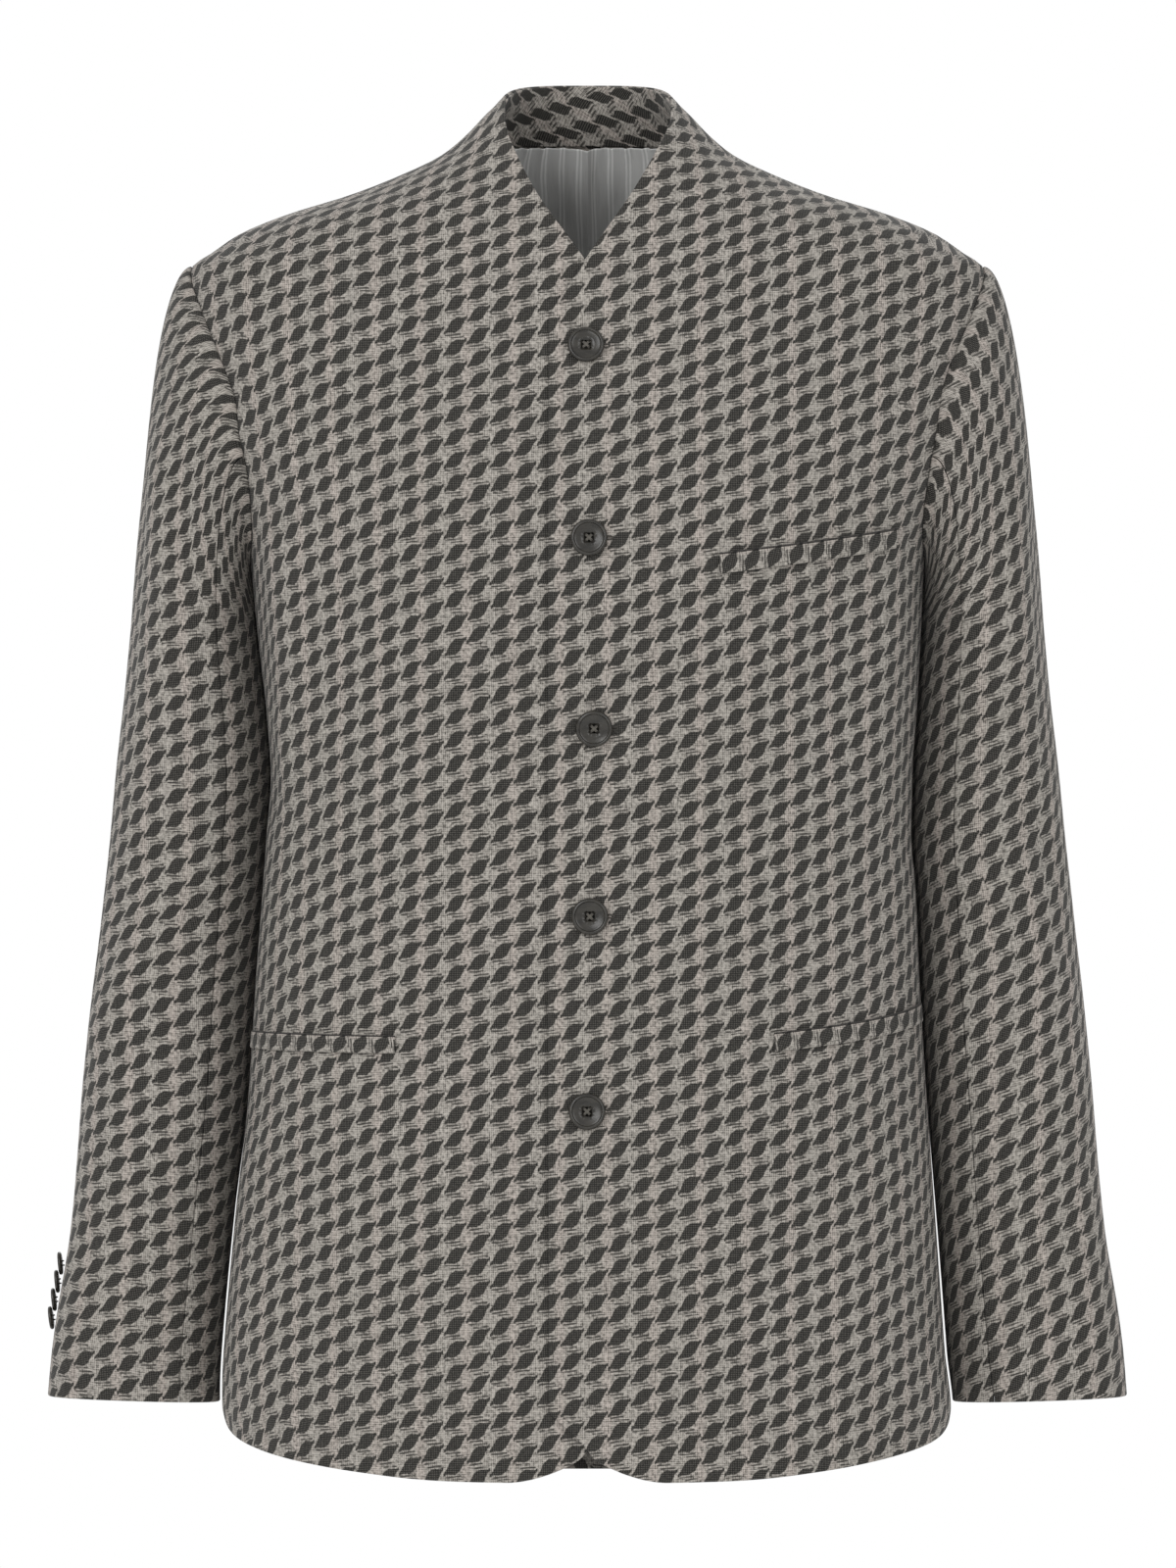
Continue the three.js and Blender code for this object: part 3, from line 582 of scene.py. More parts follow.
class Wire:
    # One socket of a shader, so that its maths reads as Python
    def __init__(self, shader, socket):
        self.shader = shader
        self.socket = socket

    def apply(self, operation, *others):
        return self.shader.maths(operation, self, *others)

    def __add__(self, other):
        return self.apply("ADD", other)

    def __sub__(self, other):
        return self.apply("SUBTRACT", other)

    def __rsub__(self, other):
        return self.shader.maths("SUBTRACT", other, self)

    def __mul__(self, other):
        return self.apply("MULTIPLY", other)

    def __truediv__(self, other):
        return self.apply("DIVIDE", other)

    def __abs__(self):
        return self.apply("ABSOLUTE")

    __radd__ = __add__
    __rmul__ = __mul__

    def floor(self):
        return self.apply("FLOOR")

    def fract(self):
        return self.apply("FRACT")

    def sine(self):
        return self.apply("SINE")

    def below(self, other):
        return self.apply("LESS_THAN", other)

    def most(self, other):
        return self.apply("MAXIMUM", other)

    def ease(self, start, end):
        ends = {"Value": self, "From Min": start, "From Max": end, "To Min": 0.0, "To Max": 1.0}
        node = self.shader.node("ShaderNodeMapRange", {"interpolation_type": "SMOOTHSTEP", "clamp": True}, ends)
        return self.shader.wire(node, "Result")


class Shader:
    def __init__(self, name):
        self.material = bpy.data.materials.new(name)
        self.material.use_nodes = True
        self.tree = self.material.node_tree
        self.surface = self.tree.nodes["Principled BSDF"]

    def node(self, kind, settings=None, inputs=None):
        made = self.tree.nodes.new(kind)
        for key, value in (settings or {}).items():
            setattr(made, key, value)
        for key, value in (inputs or {}).items():
            self.put(made.inputs[key], value)
        return made

    def put(self, socket, value):
        if isinstance(value, Wire):
            self.tree.links.new(value.socket, socket)
        else:
            socket.default_value = value

    def wire(self, node, output=0):
        return Wire(self, node.outputs[output])

    def maths(self, operation, *values):
        return self.wire(self.node("ShaderNodeMath", {"operation": operation}, dict(enumerate(values))))

    def uv(self):
        return self.wire(self.node("ShaderNodeUVMap", {"uv_map": "weave"}), "UV")

    def parts(self, vector):
        node = self.node("ShaderNodeSeparateXYZ", None, {0: vector})
        return self.wire(node, 0), self.wire(node, 1)

    def noise(self, vector, scale, detail=2.0, stretch=(1.0, 1.0, 1.0)):
        scaled = self.node("ShaderNodeVectorMath", {"operation": "MULTIPLY"}, {0: vector, 1: stretch})
        node = self.node("ShaderNodeTexNoise", None,
                         {"Vector": self.wire(scaled), "Scale": scale, "Detail": detail, "Roughness": 0.55})
        return self.wire(node, "Fac")

    def place(self):
        return self.wire(self.node("ShaderNodeTexCoord"), "Object")

    def mix(self, factor, first, second):
        node = self.node("ShaderNodeMix", {"data_type": "RGBA", "clamp_factor": True})
        self.put(node.inputs[0], factor)
        self.put(node.inputs[6], first)
        self.put(node.inputs[7], second)
        return self.wire(node, 2)

    def bump(self, height, strength, distance):
        node = self.node("ShaderNodeBump", None, {"Height": height, "Strength": strength, "Distance": distance})
        self.put(self.surface.inputs["Normal"], self.wire(node))

    def finish(self, **values):
        for key, value in values.items():
            self.put(self.surface.inputs[key.replace("_", " ")], value)
        return self.material


tau = 2 * math.pi


# The small lozenge repeat of the wool: leaning lozenges in columns, every other column half a pitch higher,
# thin dark dashes between them, light specks in the lozenges and a fine plain weave over all.
# mouth: height in millimetres of a painted shadow line, near black, along a welt's upper edge, where the pocket
# opens
def makeWool(name, shade=1.0, mouthShadow=0.0):
    s = Shader(name)
    uv = s.uv()
    x, y = s.parts(uv)
    drift = s.noise(uv, 60.0, 1.0)
    fray = s.noise(uv, 900.0, 2.0)
    yarnUp = s.noise(uv, 1.0, 1.0, (1300.0, 160.0, 1.0))
    yarnAcross = s.noise(uv, 1.0, 1.0, (160.0, 1300.0, 1.0))
    pitch = weave["pitch"] * mm
    u = (x - weave["u0"] * mm) / pitch + (drift - 0.5) * 0.16 + 0.5
    v = (y - weave["v0"] * mm) / pitch + (s.noise(uv, 47.0, 1.0) - 0.5) * 0.16 + 0.5
    odd = (u.floor() / 2).fract() * 2
    even = 1 - odd
    across = u.fract() - 0.5
    up = (v - odd * weave["offset"]).fract() - 0.5
    sheared = across - up * weave["lean"]
    raggedEdge = (fray - 0.5) * 0.22
    wide, tall = abs(sheared) / weave["halfWidth"], abs(up) / weave["halfHeight"]
    cut = (sheared * up).below(0.0)
    tails = (wide * tall).ease(0.5, 1.2) * 0.22 * (1 - cut)
    size = wide.most(tall).most((wide + tall) * weave["corner"] * cut) - tails
    lozenge = 1 - (size + raggedEdge).ease(0.90, 1.10)

    def dash(height, middle, halfWidth, thickness):
        away = abs(up - across * weave["dashLean"] - height + (drift - 0.5) * 0.05) / thickness
        line = 1 - (away + raggedEdge).ease(0.7, 1.3)
        return line * (1 - (abs(across - middle) + raggedEdge * 0.6).ease(halfWidth - 0.04, halfWidth + 0.04))

    dashesEven = dash(**evenDashes[0]).most(dash(**evenDashes[1]))
    dashesOdd = dash(**oddDashes[0]).most(dash(**oddDashes[1]))
    dashes = (dashesEven * even).most(dashesOdd * odd) * yarnAcross.ease(0.30, 0.52)
    turn = tau / (weave["speckPitch"] * mm)
    specks = (((x + y) * turn).sine() * ((x - y) * turn).sine() + (fray - 0.5) * 1.2).ease(0.05, 0.55)
    gridAcross, gridUp = (tau / (step * mm) for step in weave["gridPitch"])
    grid = (x * gridAcross).sine() * 0.5 + (y * gridUp).sine() * 0.5
    mottle = s.noise(uv, 560.0, 3.0)
    band = 1 - abs(((u - 1.0 + (v * tau).sine() * 0.05) / 2 + 0.5).fract() * 2 - 1).ease(0.05, 0.36)
    patch = s.noise(s.place(), 9.0, 3.0)
    ground = s.mix(band * 0.75, rgb(weave["ground"]), rgb(weave["warm"]))
    ground = s.mix((patch - 0.35) * 0.35, ground, rgb(weave["green"]))
    yarns = (yarnUp - 0.5) * 1.3 + (yarnAcross - 0.5) * 1.3
    tone = grid * 0.42 + yarns + (mottle - 0.5) * 2.6 + (fray - 0.5) * 0.9
    ground = s.mix((0.52 - tone) * 0.72, ground, rgb(weave["shadow"]))
    inside = s.mix((specks + (mottle - 0.5) * 0.8) * 0.7, rgb(weave["dark"]), rgb(weave["speck"]))
    colour = s.mix(lozenge, ground, inside)
    colour = s.mix(dashes * 0.9 * (1 - lozenge), colour, rgb(weave["dash"]))
    # Painted shade: with shade below 1 the whole cloth is darkened towards black
    colour = s.mix(1 - shade, colour, (0.0, 0.0, 0.0, 1.0))
    # Painted shadow: a near-black line along the upper edge of a welt, in the opening of the pocket
    if mouthShadow:
        top = (weave["u0"] + weltLook["rowHeight"] / 2) * mm
        colour = s.mix(x.ease(top - mouthShadow * 1.3 * mm, top - mouthShadow * mm) * 0.9, colour, rgb((16, 15, 14)))
    height = grid * 0.12 + specks * 0.2 + (yarnUp + yarnAcross) * 0.4 - dashes * 0.5 - lozenge * 0.25
    s.bump(height, 0.75, 0.00045)
    return s.finish(Base_Color=colour, Roughness=0.84 + (fray - 0.5) * 0.2, Sheen_Weight=0.12,
                    Sheen_Roughness=0.5, Specular_IOR_Level=0.25)


# Striped satin: pairs of thin light stripes on a grey ground, with fine upright yarns
def makeSatin():
    s = Shader("stripedSatin")
    uv = s.uv()
    x, _ = s.parts(uv)
    place = (x / (satinLook["period"] * mm)).fract()
    half = satinLook["halfStripe"]
    left, right = (1 - (abs(place - at) / half).ease(0.6, 1.3) for at in satinLook["stripes"])
    stripes = left.most(right)
    yarn = s.noise(uv, 1.0, 1.0, (2600.0, 90.0, 1.0))
    cloud = s.noise(uv, 22.0, 2.0)
    colour = s.mix(stripes * 0.8, rgb(satinLook["ground"]), rgb(satinLook["stripe"]))
    colour = s.mix((yarn - 0.5) * 0.6 + (cloud - 0.5) * 0.6, colour, rgb(satinLook["shadow"]))
    s.bump(yarn * 0.5 + stripes * 0.3, 0.3, 0.0002)
    return s.finish(Base_Color=colour, Roughness=0.36 + (yarn - 0.5) * 0.15, Specular_IOR_Level=0.5,
                    Anisotropic=0.4)


# Polished dark horn with faint cloudy streaks
def makeHorn():
    s = Shader("darkHorn")
    place = s.place()
    cloud = s.noise(place, 140.0, 3.0, (1.0, 1.0, 2.5))
    grain = s.noise(place, 1600.0, 2.0)
    colour = s.mix(cloud.ease(0.3, 0.7), rgb((34, 32, 28)), rgb((52, 49, 43)))
    colour = s.mix((grain - 0.5) * 0.3, colour, rgb((20, 19, 16)))
    s.bump(grain, 0.08, 0.0001)
    return s.finish(Base_Color=colour, Roughness=0.24 + (cloud - 0.5) * 0.12, Specular_IOR_Level=0.65)


# Twisted sewing thread
def makeThread(name, colour):
    s = Shader(name)
    place = s.place()
    x, y = s.parts(place)
    twist = ((x + y) * (tau / 0.0007)).sine()
    fuzz = s.noise(place, 2500.0, 2.0)
    shade = s.mix(twist * 0.25 + (fuzz - 0.5) * 0.5 + 0.3, rgb(colour), rgb([v * 0.55 for v in colour]))
    s.bump(twist * 0.5 + fuzz, 0.5, 0.0001)
    return s.finish(Base_Color=shade, Roughness=0.7 + (fuzz - 0.5) * 0.2, Sheen_Weight=0.1)


def makeFloor():
    s = Shader("paleFloor")
    cloud = s.noise(s.place(), 3.0, 2.0)
    return s.finish(Base_Color=s.mix(cloud * 0.2, rgb((238, 238, 237)), rgb((228, 228, 227))), Roughness=0.85)


wool = makeWool("lozengeWool")
# A half-bright copy of the wool for the inner faces of the fronts and backs: painted shade, for the shadow
# inside the blazer that shows through the hem's notch
shadedInsideWool = makeWool("shadedInsideWool", 0.5)
# The welts' wool has the painted shadow line along its upper edge
weltWool = makeWool("weltWool", 1.0, weltLook["mouthShadow"])
satin = makeSatin()
horn = makeHorn()
holeThread = makeThread("holeThread", (70, 66, 60))
buttonThread = makeThread("buttonThread", (112, 108, 100))
print("materials made")


# Fronts and backs


# Rows of a panel: heights down to the armhole, turns round it, heights below it, then shares of the hem
def panelRows(topZ, above, armhole, below, hem):
    first = topZ - sharesOf(topZ - body["shoulderZ"], above, end=False)[:-1] * (topZ - body["shoulderZ"])
    turns = np.linspace(0, math.pi, armhole)
    rest = np.linspace(body["underarmZ"], body["hemStartZ"], below)[1:]
    drop = body["hemStartZ"] - body["frontHemZ"]
    spread = 1 - (1 - np.linspace(0, 1, hem)[1:-1]) ** 1.5
    edge = 1 - edgeSteps[::-1] / drop
    shares = np.concatenate([spread[spread < edge[0] - 0.002], edge])
    z = np.concatenate([first, armholeZ(turns), rest, body["hemStartZ"] - shares * drop])
    turn = np.full(len(z), np.nan)
    turn[len(first):len(first) + armhole] = turns
    share = np.full(len(z), np.nan)
    share[-len(shares):] = shares
    return z, turn, share


# Where a panel ends: at the side line, or inside the armhole
def outerAngles(facing, z, turn):
    loop = np.abs(armholeY(np.nan_to_num(turn))) - cloth["allowance"]
    reach = np.where(np.isnan(turn), -cloth["overlap"], np.maximum(loop, -cloth["overlap"]))
    return angleAtDepth(facing * reach, z)


# Angles spread over each row, and the rows bent down into the hem
def spreadRows(start, end, z, share, columns):
    length = np.abs(end - start) * 150
    shares = sharesOf(length, columns)
    angle = start[:, None] + (end - start)[:, None] * shares
    level = np.broadcast_to(z[:, None], angle.shape)
    bent = body["hemStartZ"] + np.nan_to_num(share)[:, None] * (hemAt(angle) - body["hemStartZ"])
    return angle, np.where(np.isnan(share)[:, None], level, bent)


def makeFront(side, name, node):
    z, turn, share = panelRows(28.8, 26, 70, 125, 52)
    column = "left" if side > 0 else "right"
    reach = smoothCurve(frontEdges["z"], frontEdges[column], z)
    corner = smoothCurve(cornerCurve["above"], cornerCurve["reach"], z - body["frontHemZ"])
    reach = np.where(np.isnan(share), reach, corner)
    start = angleAtReach(side, reach, z)
    angle, level = spreadRows(start, outerAngles(-1, z, turn), z, share, 84)
    surface = bodyPoint(side, angle, level)
    u = reach[:, None] + arcs(surface, 1)
    uv = np.stack([side * u, heightOnCloth(surface[..., 0], level, "front")], -1)
    piece = shell(name, surface, bodyNormal(side, angle, level), 0, cloth["wall"], borderDistance(surface), uv,
                  wool, inside=shadedInsideWool)
    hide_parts(node)
    declareSheet(surface)
    return piece


def makeBack(side, name, node):
    z, turn, share = panelRows(collar["seamZ"], 18, 60, 95, 30)
    half = smoothCurve(bodySections["z"], bodySections["half"], z)
    start = math.pi / 2 + cloth["overlap"] / half
    angle, level = spreadRows(start, outerAngles(1, z, turn), z, share, 64)
    surface = bodyPoint(side, angle, level)
    uv = np.stack([-side * arcs(surface, 1), heightOnCloth(surface[..., 0], level, "back")], -1)
    piece = shell(name, surface, bodyNormal(side, angle, level), 0, cloth["wall"], borderDistance(surface), uv,
                  wool, inside=shadedInsideWool)
    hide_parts(node)
    declareSheet(surface)
    return piece


makeFront(1, "leftFront", "front_left")
makeFront(-1, "rightFront", "front_right")
makeBack(1, "leftBack", "back_left")
makeBack(-1, "rightBack", "back_right")
print("fronts and backs made")


# Collar and lining


# Upper edge of the neck: lowest at the sides, highest at the back
def standTop(angle):
    return collar["topSide"] + (collar["topBack"] - collar["topSide"]) * (1 - (1 - np.sin(angle)) ** 1.6)


# A whole back has angles from the left side line, 0, to the right one, 180 degrees
def acrossBack(angle):
    left = angle <= math.pi / 2
    return np.where(left, 1.0, -1.0), np.where(left, angle, math.pi - angle)


# A band round the back of the neck, from its upper edge down to lowZ
def makeStand(name, node, lowZ, topDrop, inset, depth, thickness, grainTurn):
    shares = sharesOf(200.0, 70)
    across = inset + (math.pi - 2 * inset) * shares
    down = sharesOf(34.0, 16)[:, None]
    high = standTop(across) - topDrop
    level = high + (lowZ - high) * down
    across = np.broadcast_to(across, level.shape)
    side, angle = acrossBack(across)
    surface = bodyPoint(side, angle, level)
    uv = np.stack([arcs(surface, 1), level], -1)
    uv = turned(uv, grainTurn)
    normal = bodyNormal(side, angle, level)
    piece = shell(name, surface, normal, depth, thickness, borderDistance(surface), uv, wool)
    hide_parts(node)
    declareSheet(surface)


makeStand("collarStand", "collar_stand", collar["seamZ"] + cloth["seam"], 0.0, 0.003, 0, cloth["wall"], 0)
makeStand("collarFacing", "collar_facing", collar["facingZ"], 0.4, 0.006, cloth["wall"] + 0.1,
          cloth["facing"], collar["facingTurn"])


# The lining hangs from the facing, with a pleat down its middle and small puckers where it is sewn in
def makeLining():
    z, turn, share = panelRows(collar["facingZ"] - 0.2, 24, 40, 60, 16)
    keep = np.isnan(share) | (np.nan_to_num(share) < 0.78)
    z, turn, share = z[keep], turn[keep], share[keep]
    end = outerAngles(1, z, turn)
    start = math.pi / 2 + np.zeros_like(end)
    halfAngle, halfLevel = spreadRows(start, start + (end - start) * 0.86, z, share, 56)
    across = np.concatenate([halfAngle[:, ::-1], math.pi - halfAngle[:, 1:]], 1)
    level = np.concatenate([halfLevel[:, ::-1], halfLevel[:, 1:]], 1)
    side, angle = acrossBack(across)
    surface = bodyPoint(side, angle, level)
    normal = bodyNormal(side, angle, level)
    x = surface[..., 0]
    fold = pleat["depth"] * np.exp(-(((x - pleat["x"]) / pleat["width"]) ** 2))
    fold = fold * smoothStep(pleat["fadeZ"], pleat["fullZ"], level)
    topZ = drapes["topZ"]
    gathers = 0.55 * np.sin(x * 0.78) + 0.4 * np.sin(x * 1.31 + 0.8)
    pucker = np.exp((level - topZ) / drapes["puckerFade"]) * gathers
    drape = 1.7 * (np.sin(x * 0.17 + level * 0.05) - 1) + 1.1 * (np.sin(x * 0.33 - level * 0.07) - 1)
    hang = np.exp((level - topZ) / drapes["hangFade"]) * smoothStep(6, -22, level) * drape
    crease = drapes["crease"] * np.exp(-(((x - drapes["creaseX"]) / drapes["creaseWidth"]) ** 2))
    crease = crease * smoothStep(pleat["fadeZ"], pleat["fullZ"], level)
    surface = surface + normal * (pucker + hang - fold - crease)[..., None]
    cut = surface - normal * (cloth["wall"] + cloth["liningClear"])
    uv = np.stack([arcs(cut, 1) - arcs(cut, 1)[:, cut.shape[1] // 2:cut.shape[1] // 2 + 1], level], -1)
    piece = shell("backLining", cut, normal, 0, cloth["lining"], borderDistance(cut), uv, satin)
    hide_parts("back_lining")
    declareSheet(cut)


makeLining()
print("collar and lining made")


# Sleeves


# Level section of the sleeve: a superellipse between the body's side and the outer edge
def sleeveRing(side, turn, z):
    outer, middle, front, back = (smoothCurve(sleeveSections["z"], sleeveSections[name], z)
                                  for name in ("outer", "middle", "front", "back"))
    half, _, bodyBack, shift = readSections(z)
    inner = half * otherShare(middle / bodyBack) + side * shift + sleeve["clearance"]
    c, s = np.cos(turn), np.sin(turn)
    size = (np.abs(c) ** sleeve["power"] + np.abs(s) ** sleeve["power"]) ** (-1 / sleeve["power"])
    depth = np.where(s > 0, front, back)
    lift = sleeveFold(side, turn, z)
    x = (outer + inner) / 2 + ((outer - inner) / 2 * size + lift) * c
    return np.stack(np.broadcast_arrays(side * x, middle - (depth * size + lift) * s, z), -1)


# Folds from their table, with long waves added
def sleeveFold(side, turn, z):
    around = np.arctan2(np.sin(turn), np.cos(turn))
    waves = 0.25 * np.sin(2 * around + z * 0.045) + 0.2 * np.sin(3 * around - z * 0.03 + side)
    calm = smoothStep(-1, -0.4, np.cos(turn))  # still where it lies beside the body
    folds = foldHeight(sleeveFolds, side, around, z, sleeve["foldRound"], ("turn0", "turn1"))
    return folds + waves * calm


# Cubic Bezier curves from the armhole, out along its own direction, into the first level section
def headPoint(side, turn, share):
    c, s = np.cos(turn), np.sin(turn)
    z, y = armholeZ(turn), armholeY(turn)
    y = np.where(np.abs(y) < 1e-6, 1e-6, y)
    sideways = sleeveHead["sideways"][0] + sleeveHead["sideways"][1] * c
    upward = sleeveHead["upward"][0] + sleeveHead["upward"][1] * c
    out = unit(np.stack(np.broadcast_arrays(side * sideways, -sleeveHead["forward"] * s, upward), -1))
    start = bodyPoint(side, angleAtDepth(y, z), z) + out * cloth["seam"]
    end = sleeveRing(side, turn, np.full(np.shape(turn), sleeve["topZ"]))
    over, under = np.maximum(0, c), np.minimum(0, c)
    rise, bend = sleeveHead["reachOver"]
    reach = sleeveHead["reach"] + rise * over + bend * over * over + sleeveHead["reachUnder"] * under
    drop = sleeveHead["drop"] + sleeveHead["dropOver"] * over + sleeveHead["dropUnder"] * under
    reach, drop = reach[..., None], drop[..., None]
    first = start + out * reach
    second = end + drop * np.array([-side * sleeveHead["lean"], 0, 1])
    t = share[..., None]
    s1 = 1 - t
    return s1 ** 3 * start + 3 * s1 * s1 * t * first + 3 * s1 * t * t * second + t ** 3 * end


# along: 0 at the armhole, 1 at the first level section and 2 at the cuff
def sleevePoint(side, turn, along):
    head = headPoint(side, turn, np.clip(along, 0, 1))
    calm = smoothStep(0, 0.4, along) * smoothStep(1, 0.7, along)
    lift = calm * sleeveFold(side, turn, head[..., 2])
    head = head + lift[..., None] * np.stack([side * np.cos(turn), -np.sin(turn), np.zeros_like(turn)], -1)
    z = sleeve["topZ"] + (sleeve["cuffZ"] - sleeve["topZ"]) * (along - 1)
    arm = sleeveRing(side, turn, z)
    arm[..., 2] += sleeve["cuffTilt"] * np.cos(turn) * (along - 1)
    point = np.where((along <= 1)[..., None], head, arm)
    fade = smoothStep(0, 0.15, along) * smoothStep(1.3, 1, along)
    tuck = sleeve["tuck"] * fade * smoothStep(-0.7, -1, np.cos(turn))
    point[..., 0] -= side * tuck
    return point


# Cross product of the steps to close neighbours
def sleeveNormal(side, turn, along):
    a = np.maximum(along, 0.002)
    du = sleevePoint(side, turn + 1e-3, a) - sleevePoint(side, turn - 1e-3, a)
    dv = sleevePoint(side, turn, a + 1e-3) - sleevePoint(side, turn, a - 1e-3)
    return unit(np.cross(du, dv)) * side


# One panel between two seams, which have their own turn at the head and at the cuff
def sleevePanel(side, first, last, name, node, columns):
    headRows = sharesOf(150.0, 50, end=False) ** 1.15
    armRows = 1 + sharesOf(425.0, 130, start=False)[1:]
    along = np.concatenate([headRows, armRows])[:, None]
    share = smoothStep(0, 2, along)
    slit = cloth["seam"] / 2 / sleeve["foldRound"]
    start = (first[0] + (first[1] - first[0]) * share) * deg + slit
    end = (last[0] + (last[1] - last[0]) * share) * deg - slit
    turn = start + (end - start) * sharesOf(150.0, columns)
    along = np.broadcast_to(along, turn.shape)
    surface = sleevePoint(side, turn, along)
    down = arcs(surface, 0)
    ring = len(headRows) - 1
    v = sleeve["topZ"] - (down - down[ring:ring + 1])
    before = turn[:, :1] * np.linspace(0, 1, 60)
    start = arcs(sleevePoint(side, before, np.broadcast_to(along[:, :1], before.shape)), 1)[:, -1:]
    u = -side * (np.sign(turn[:, :1]) * start + arcs(surface, 1))
    grain = sleeve["grain"][side]
    v = v - (grain[0] + (grain[1] - grain[0]) * along / 2) * u
    piece = shell(name, surface, sleeveNormal(side, turn, along), 0, cloth["wall"], borderDistance(surface),
                  np.stack([u, v], -1), wool)
    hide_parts(node)
    declareSheet(surface)


for side, word in ((1, "left"), (-1, "right")):
    frontSeam = (sleeve["frontTop"], sleeve["frontCuff"])
    backSeam = (sleeve["backTop"], sleeve["backCuff"][side])
    around = (backSeam[0] + 360, backSeam[1] + 360)
    sleevePanel(side, backSeam, frontSeam, f"{word}SleeveTop", f"sleeve_{word}_top", 74)
    sleevePanel(side, frontSeam, around, f"{word}SleeveUnder", f"sleeve_{word}_under", 62)
print("sleeves made")


# Pockets


# A strip laid on its front from one end's height to the other's, with its lozenges lying across
def makeWelt(welt):
    side = welt["side"]
    share = sharesOf(abs(welt["x"][1] - welt["x"][0]), 60)
    start = angleAtReach(side, welt["x"][0], welt["z"][0])
    end = angleAtReach(side, welt["x"][1], welt["z"][1])
    angle = start + (end - start) * share
    down = sharesOf(welt["height"], 10)[:, None]
    level = welt["z"][0] + (welt["z"][1] - welt["z"][0]) * share - welt["height"] * down
    angle = np.broadcast_to(angle, level.shape)
    surface = bodyPoint(side, angle, level)
    row = (0.5 - down) * weltLook["rowHeight"]
    uv = np.stack(np.broadcast_arrays(weave["u0"] + row, side * arcs(surface, 1) + 0.2 * row), -1)
    thickness = weltLook["thickness"]
    normal = bodyNormal(side, angle, level)
    piece = shell(welt["name"], surface, normal, -thickness - weltLook["lift"], thickness,
                  borderDistance(surface), uv, weltWool)
    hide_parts(welt["node"])
    declareSheet(surface)


for welt in welts:
    makeWelt(welt)
print("welts made")


# Buttons


# A profile turned about its axis, with one point at each pole
def lathe(profile, sides):
    profile = np.asarray(profile, float)
    ring = np.arange(sides) / sides * tau
    rings = profile[1:-1]
    x, y = rings[:, :1] * np.cos(ring), rings[:, :1] * np.sin(ring)
    points = np.stack(np.broadcast_arrays(x, y, rings[:, 1:]), -1)
    count = len(rings) * sides
    points = np.concatenate([points.reshape(-1, 3), [[0, 0, profile[0, 1]], [0, 0, profile[-1, 1]]]])
    index = np.arange(count).reshape(len(rings), sides)
    index = np.concatenate([index, index[:, :1]], 1)
    first, last = index[0], index[-1]
    low = np.stack([np.full(sides, count), first[1:], first[:-1]], -1)
    high = np.stack([np.full(sides, count + 1), last[:-1], last[1:]], -1)
    return points, outward(points, [gridQuads(index), low, high])


# Half section of a button: flat back, round rim and a dished face
def buttonProfile(radius, height):
    shares = [
        (0, 0), (0.5, 0), (0.8, 0), (0.92, 0.12), (0.985, 0.32), (1, 0.52), (0.985, 0.72), (0.95, 0.88),
        (0.905, 0.97), (0.87, 1), (0.835, 0.98), (0.81, 0.9), (0.795, 0.80), (0.77, 0.74), (0.7, 0.69),
        (0.5, 0.62), (0.25, 0.58), (0, dishShare),
    ]
    return np.array(shares) * (radius, height)


# A tube along a path, closed in itself or capped
def tube(path, radius, sides, closed):
    path = np.asarray(path, float)
    if closed:
        tangent = unit(np.roll(path, -1, 0) - np.roll(path, 1, 0))
    else:
        tangent = unit(np.gradient(path, axis=0))
    side = unit(np.cross(tangent, [0.13, 0.95, 0.28]))
    top = np.cross(side, tangent)
    turn = np.arange(sides) / sides * tau
    ring = np.cos(turn)[:, None] * side[:, None] + np.sin(turn)[:, None] * top[:, None]
    points = path[:, None] + radius * ring
    count = len(path)
    index = np.arange(count * sides).reshape(count, sides)
    index = np.concatenate([index, index[:, :1]], 1)
    if closed:
        return points.reshape(-1, 3), [gridQuads(np.concatenate([index, index[:1]], 0))]
    allPoints = np.concatenate([points.reshape(-1, 3), path[:1], path[-1:]])
    low = np.stack([np.full(sides, count * sides), index[0, 1:], index[0, :-1]], -1)
    high = np.stack([np.full(sides, count * sides + 1), index[-1, :-1], index[-1, 1:]], -1)
    return allPoints, [gridQuads(index), low, high]


# Several meshes in one object
def joined(name, parts, material):
    points, quads, tris, start = [], [], [], 0
    for somePoints, faces in parts:
        faces = outward(somePoints, faces)
        points.append(somePoints)
        quads += [np.asarray(f) + start for f in faces if np.asarray(f).shape[1] == 4]
        tris += [np.asarray(f) + start for f in faces if np.asarray(f).shape[1] == 3]
        start += len(somePoints)
    groups = [np.concatenate(g) for g in (quads, tris) if g]
    return newObject(name, np.concatenate(points), groups, material, None)


# Turns a local frame so that its +Z looks along axis and its +X lies near the world's X
def place(points, at, axis):
    axis = unit(np.asarray(axis, float))
    steep = abs(axis[0]) >= 0.9
    x = unit(np.cross([0, 0, 1], axis)) if steep else unit(np.array([1.0, 0.0, 0.0]) - axis * axis[0])
    y = np.cross(axis, x)
    return at + points[..., :1] * x + points[..., 1:2] * y + points[..., 2:3] * axis


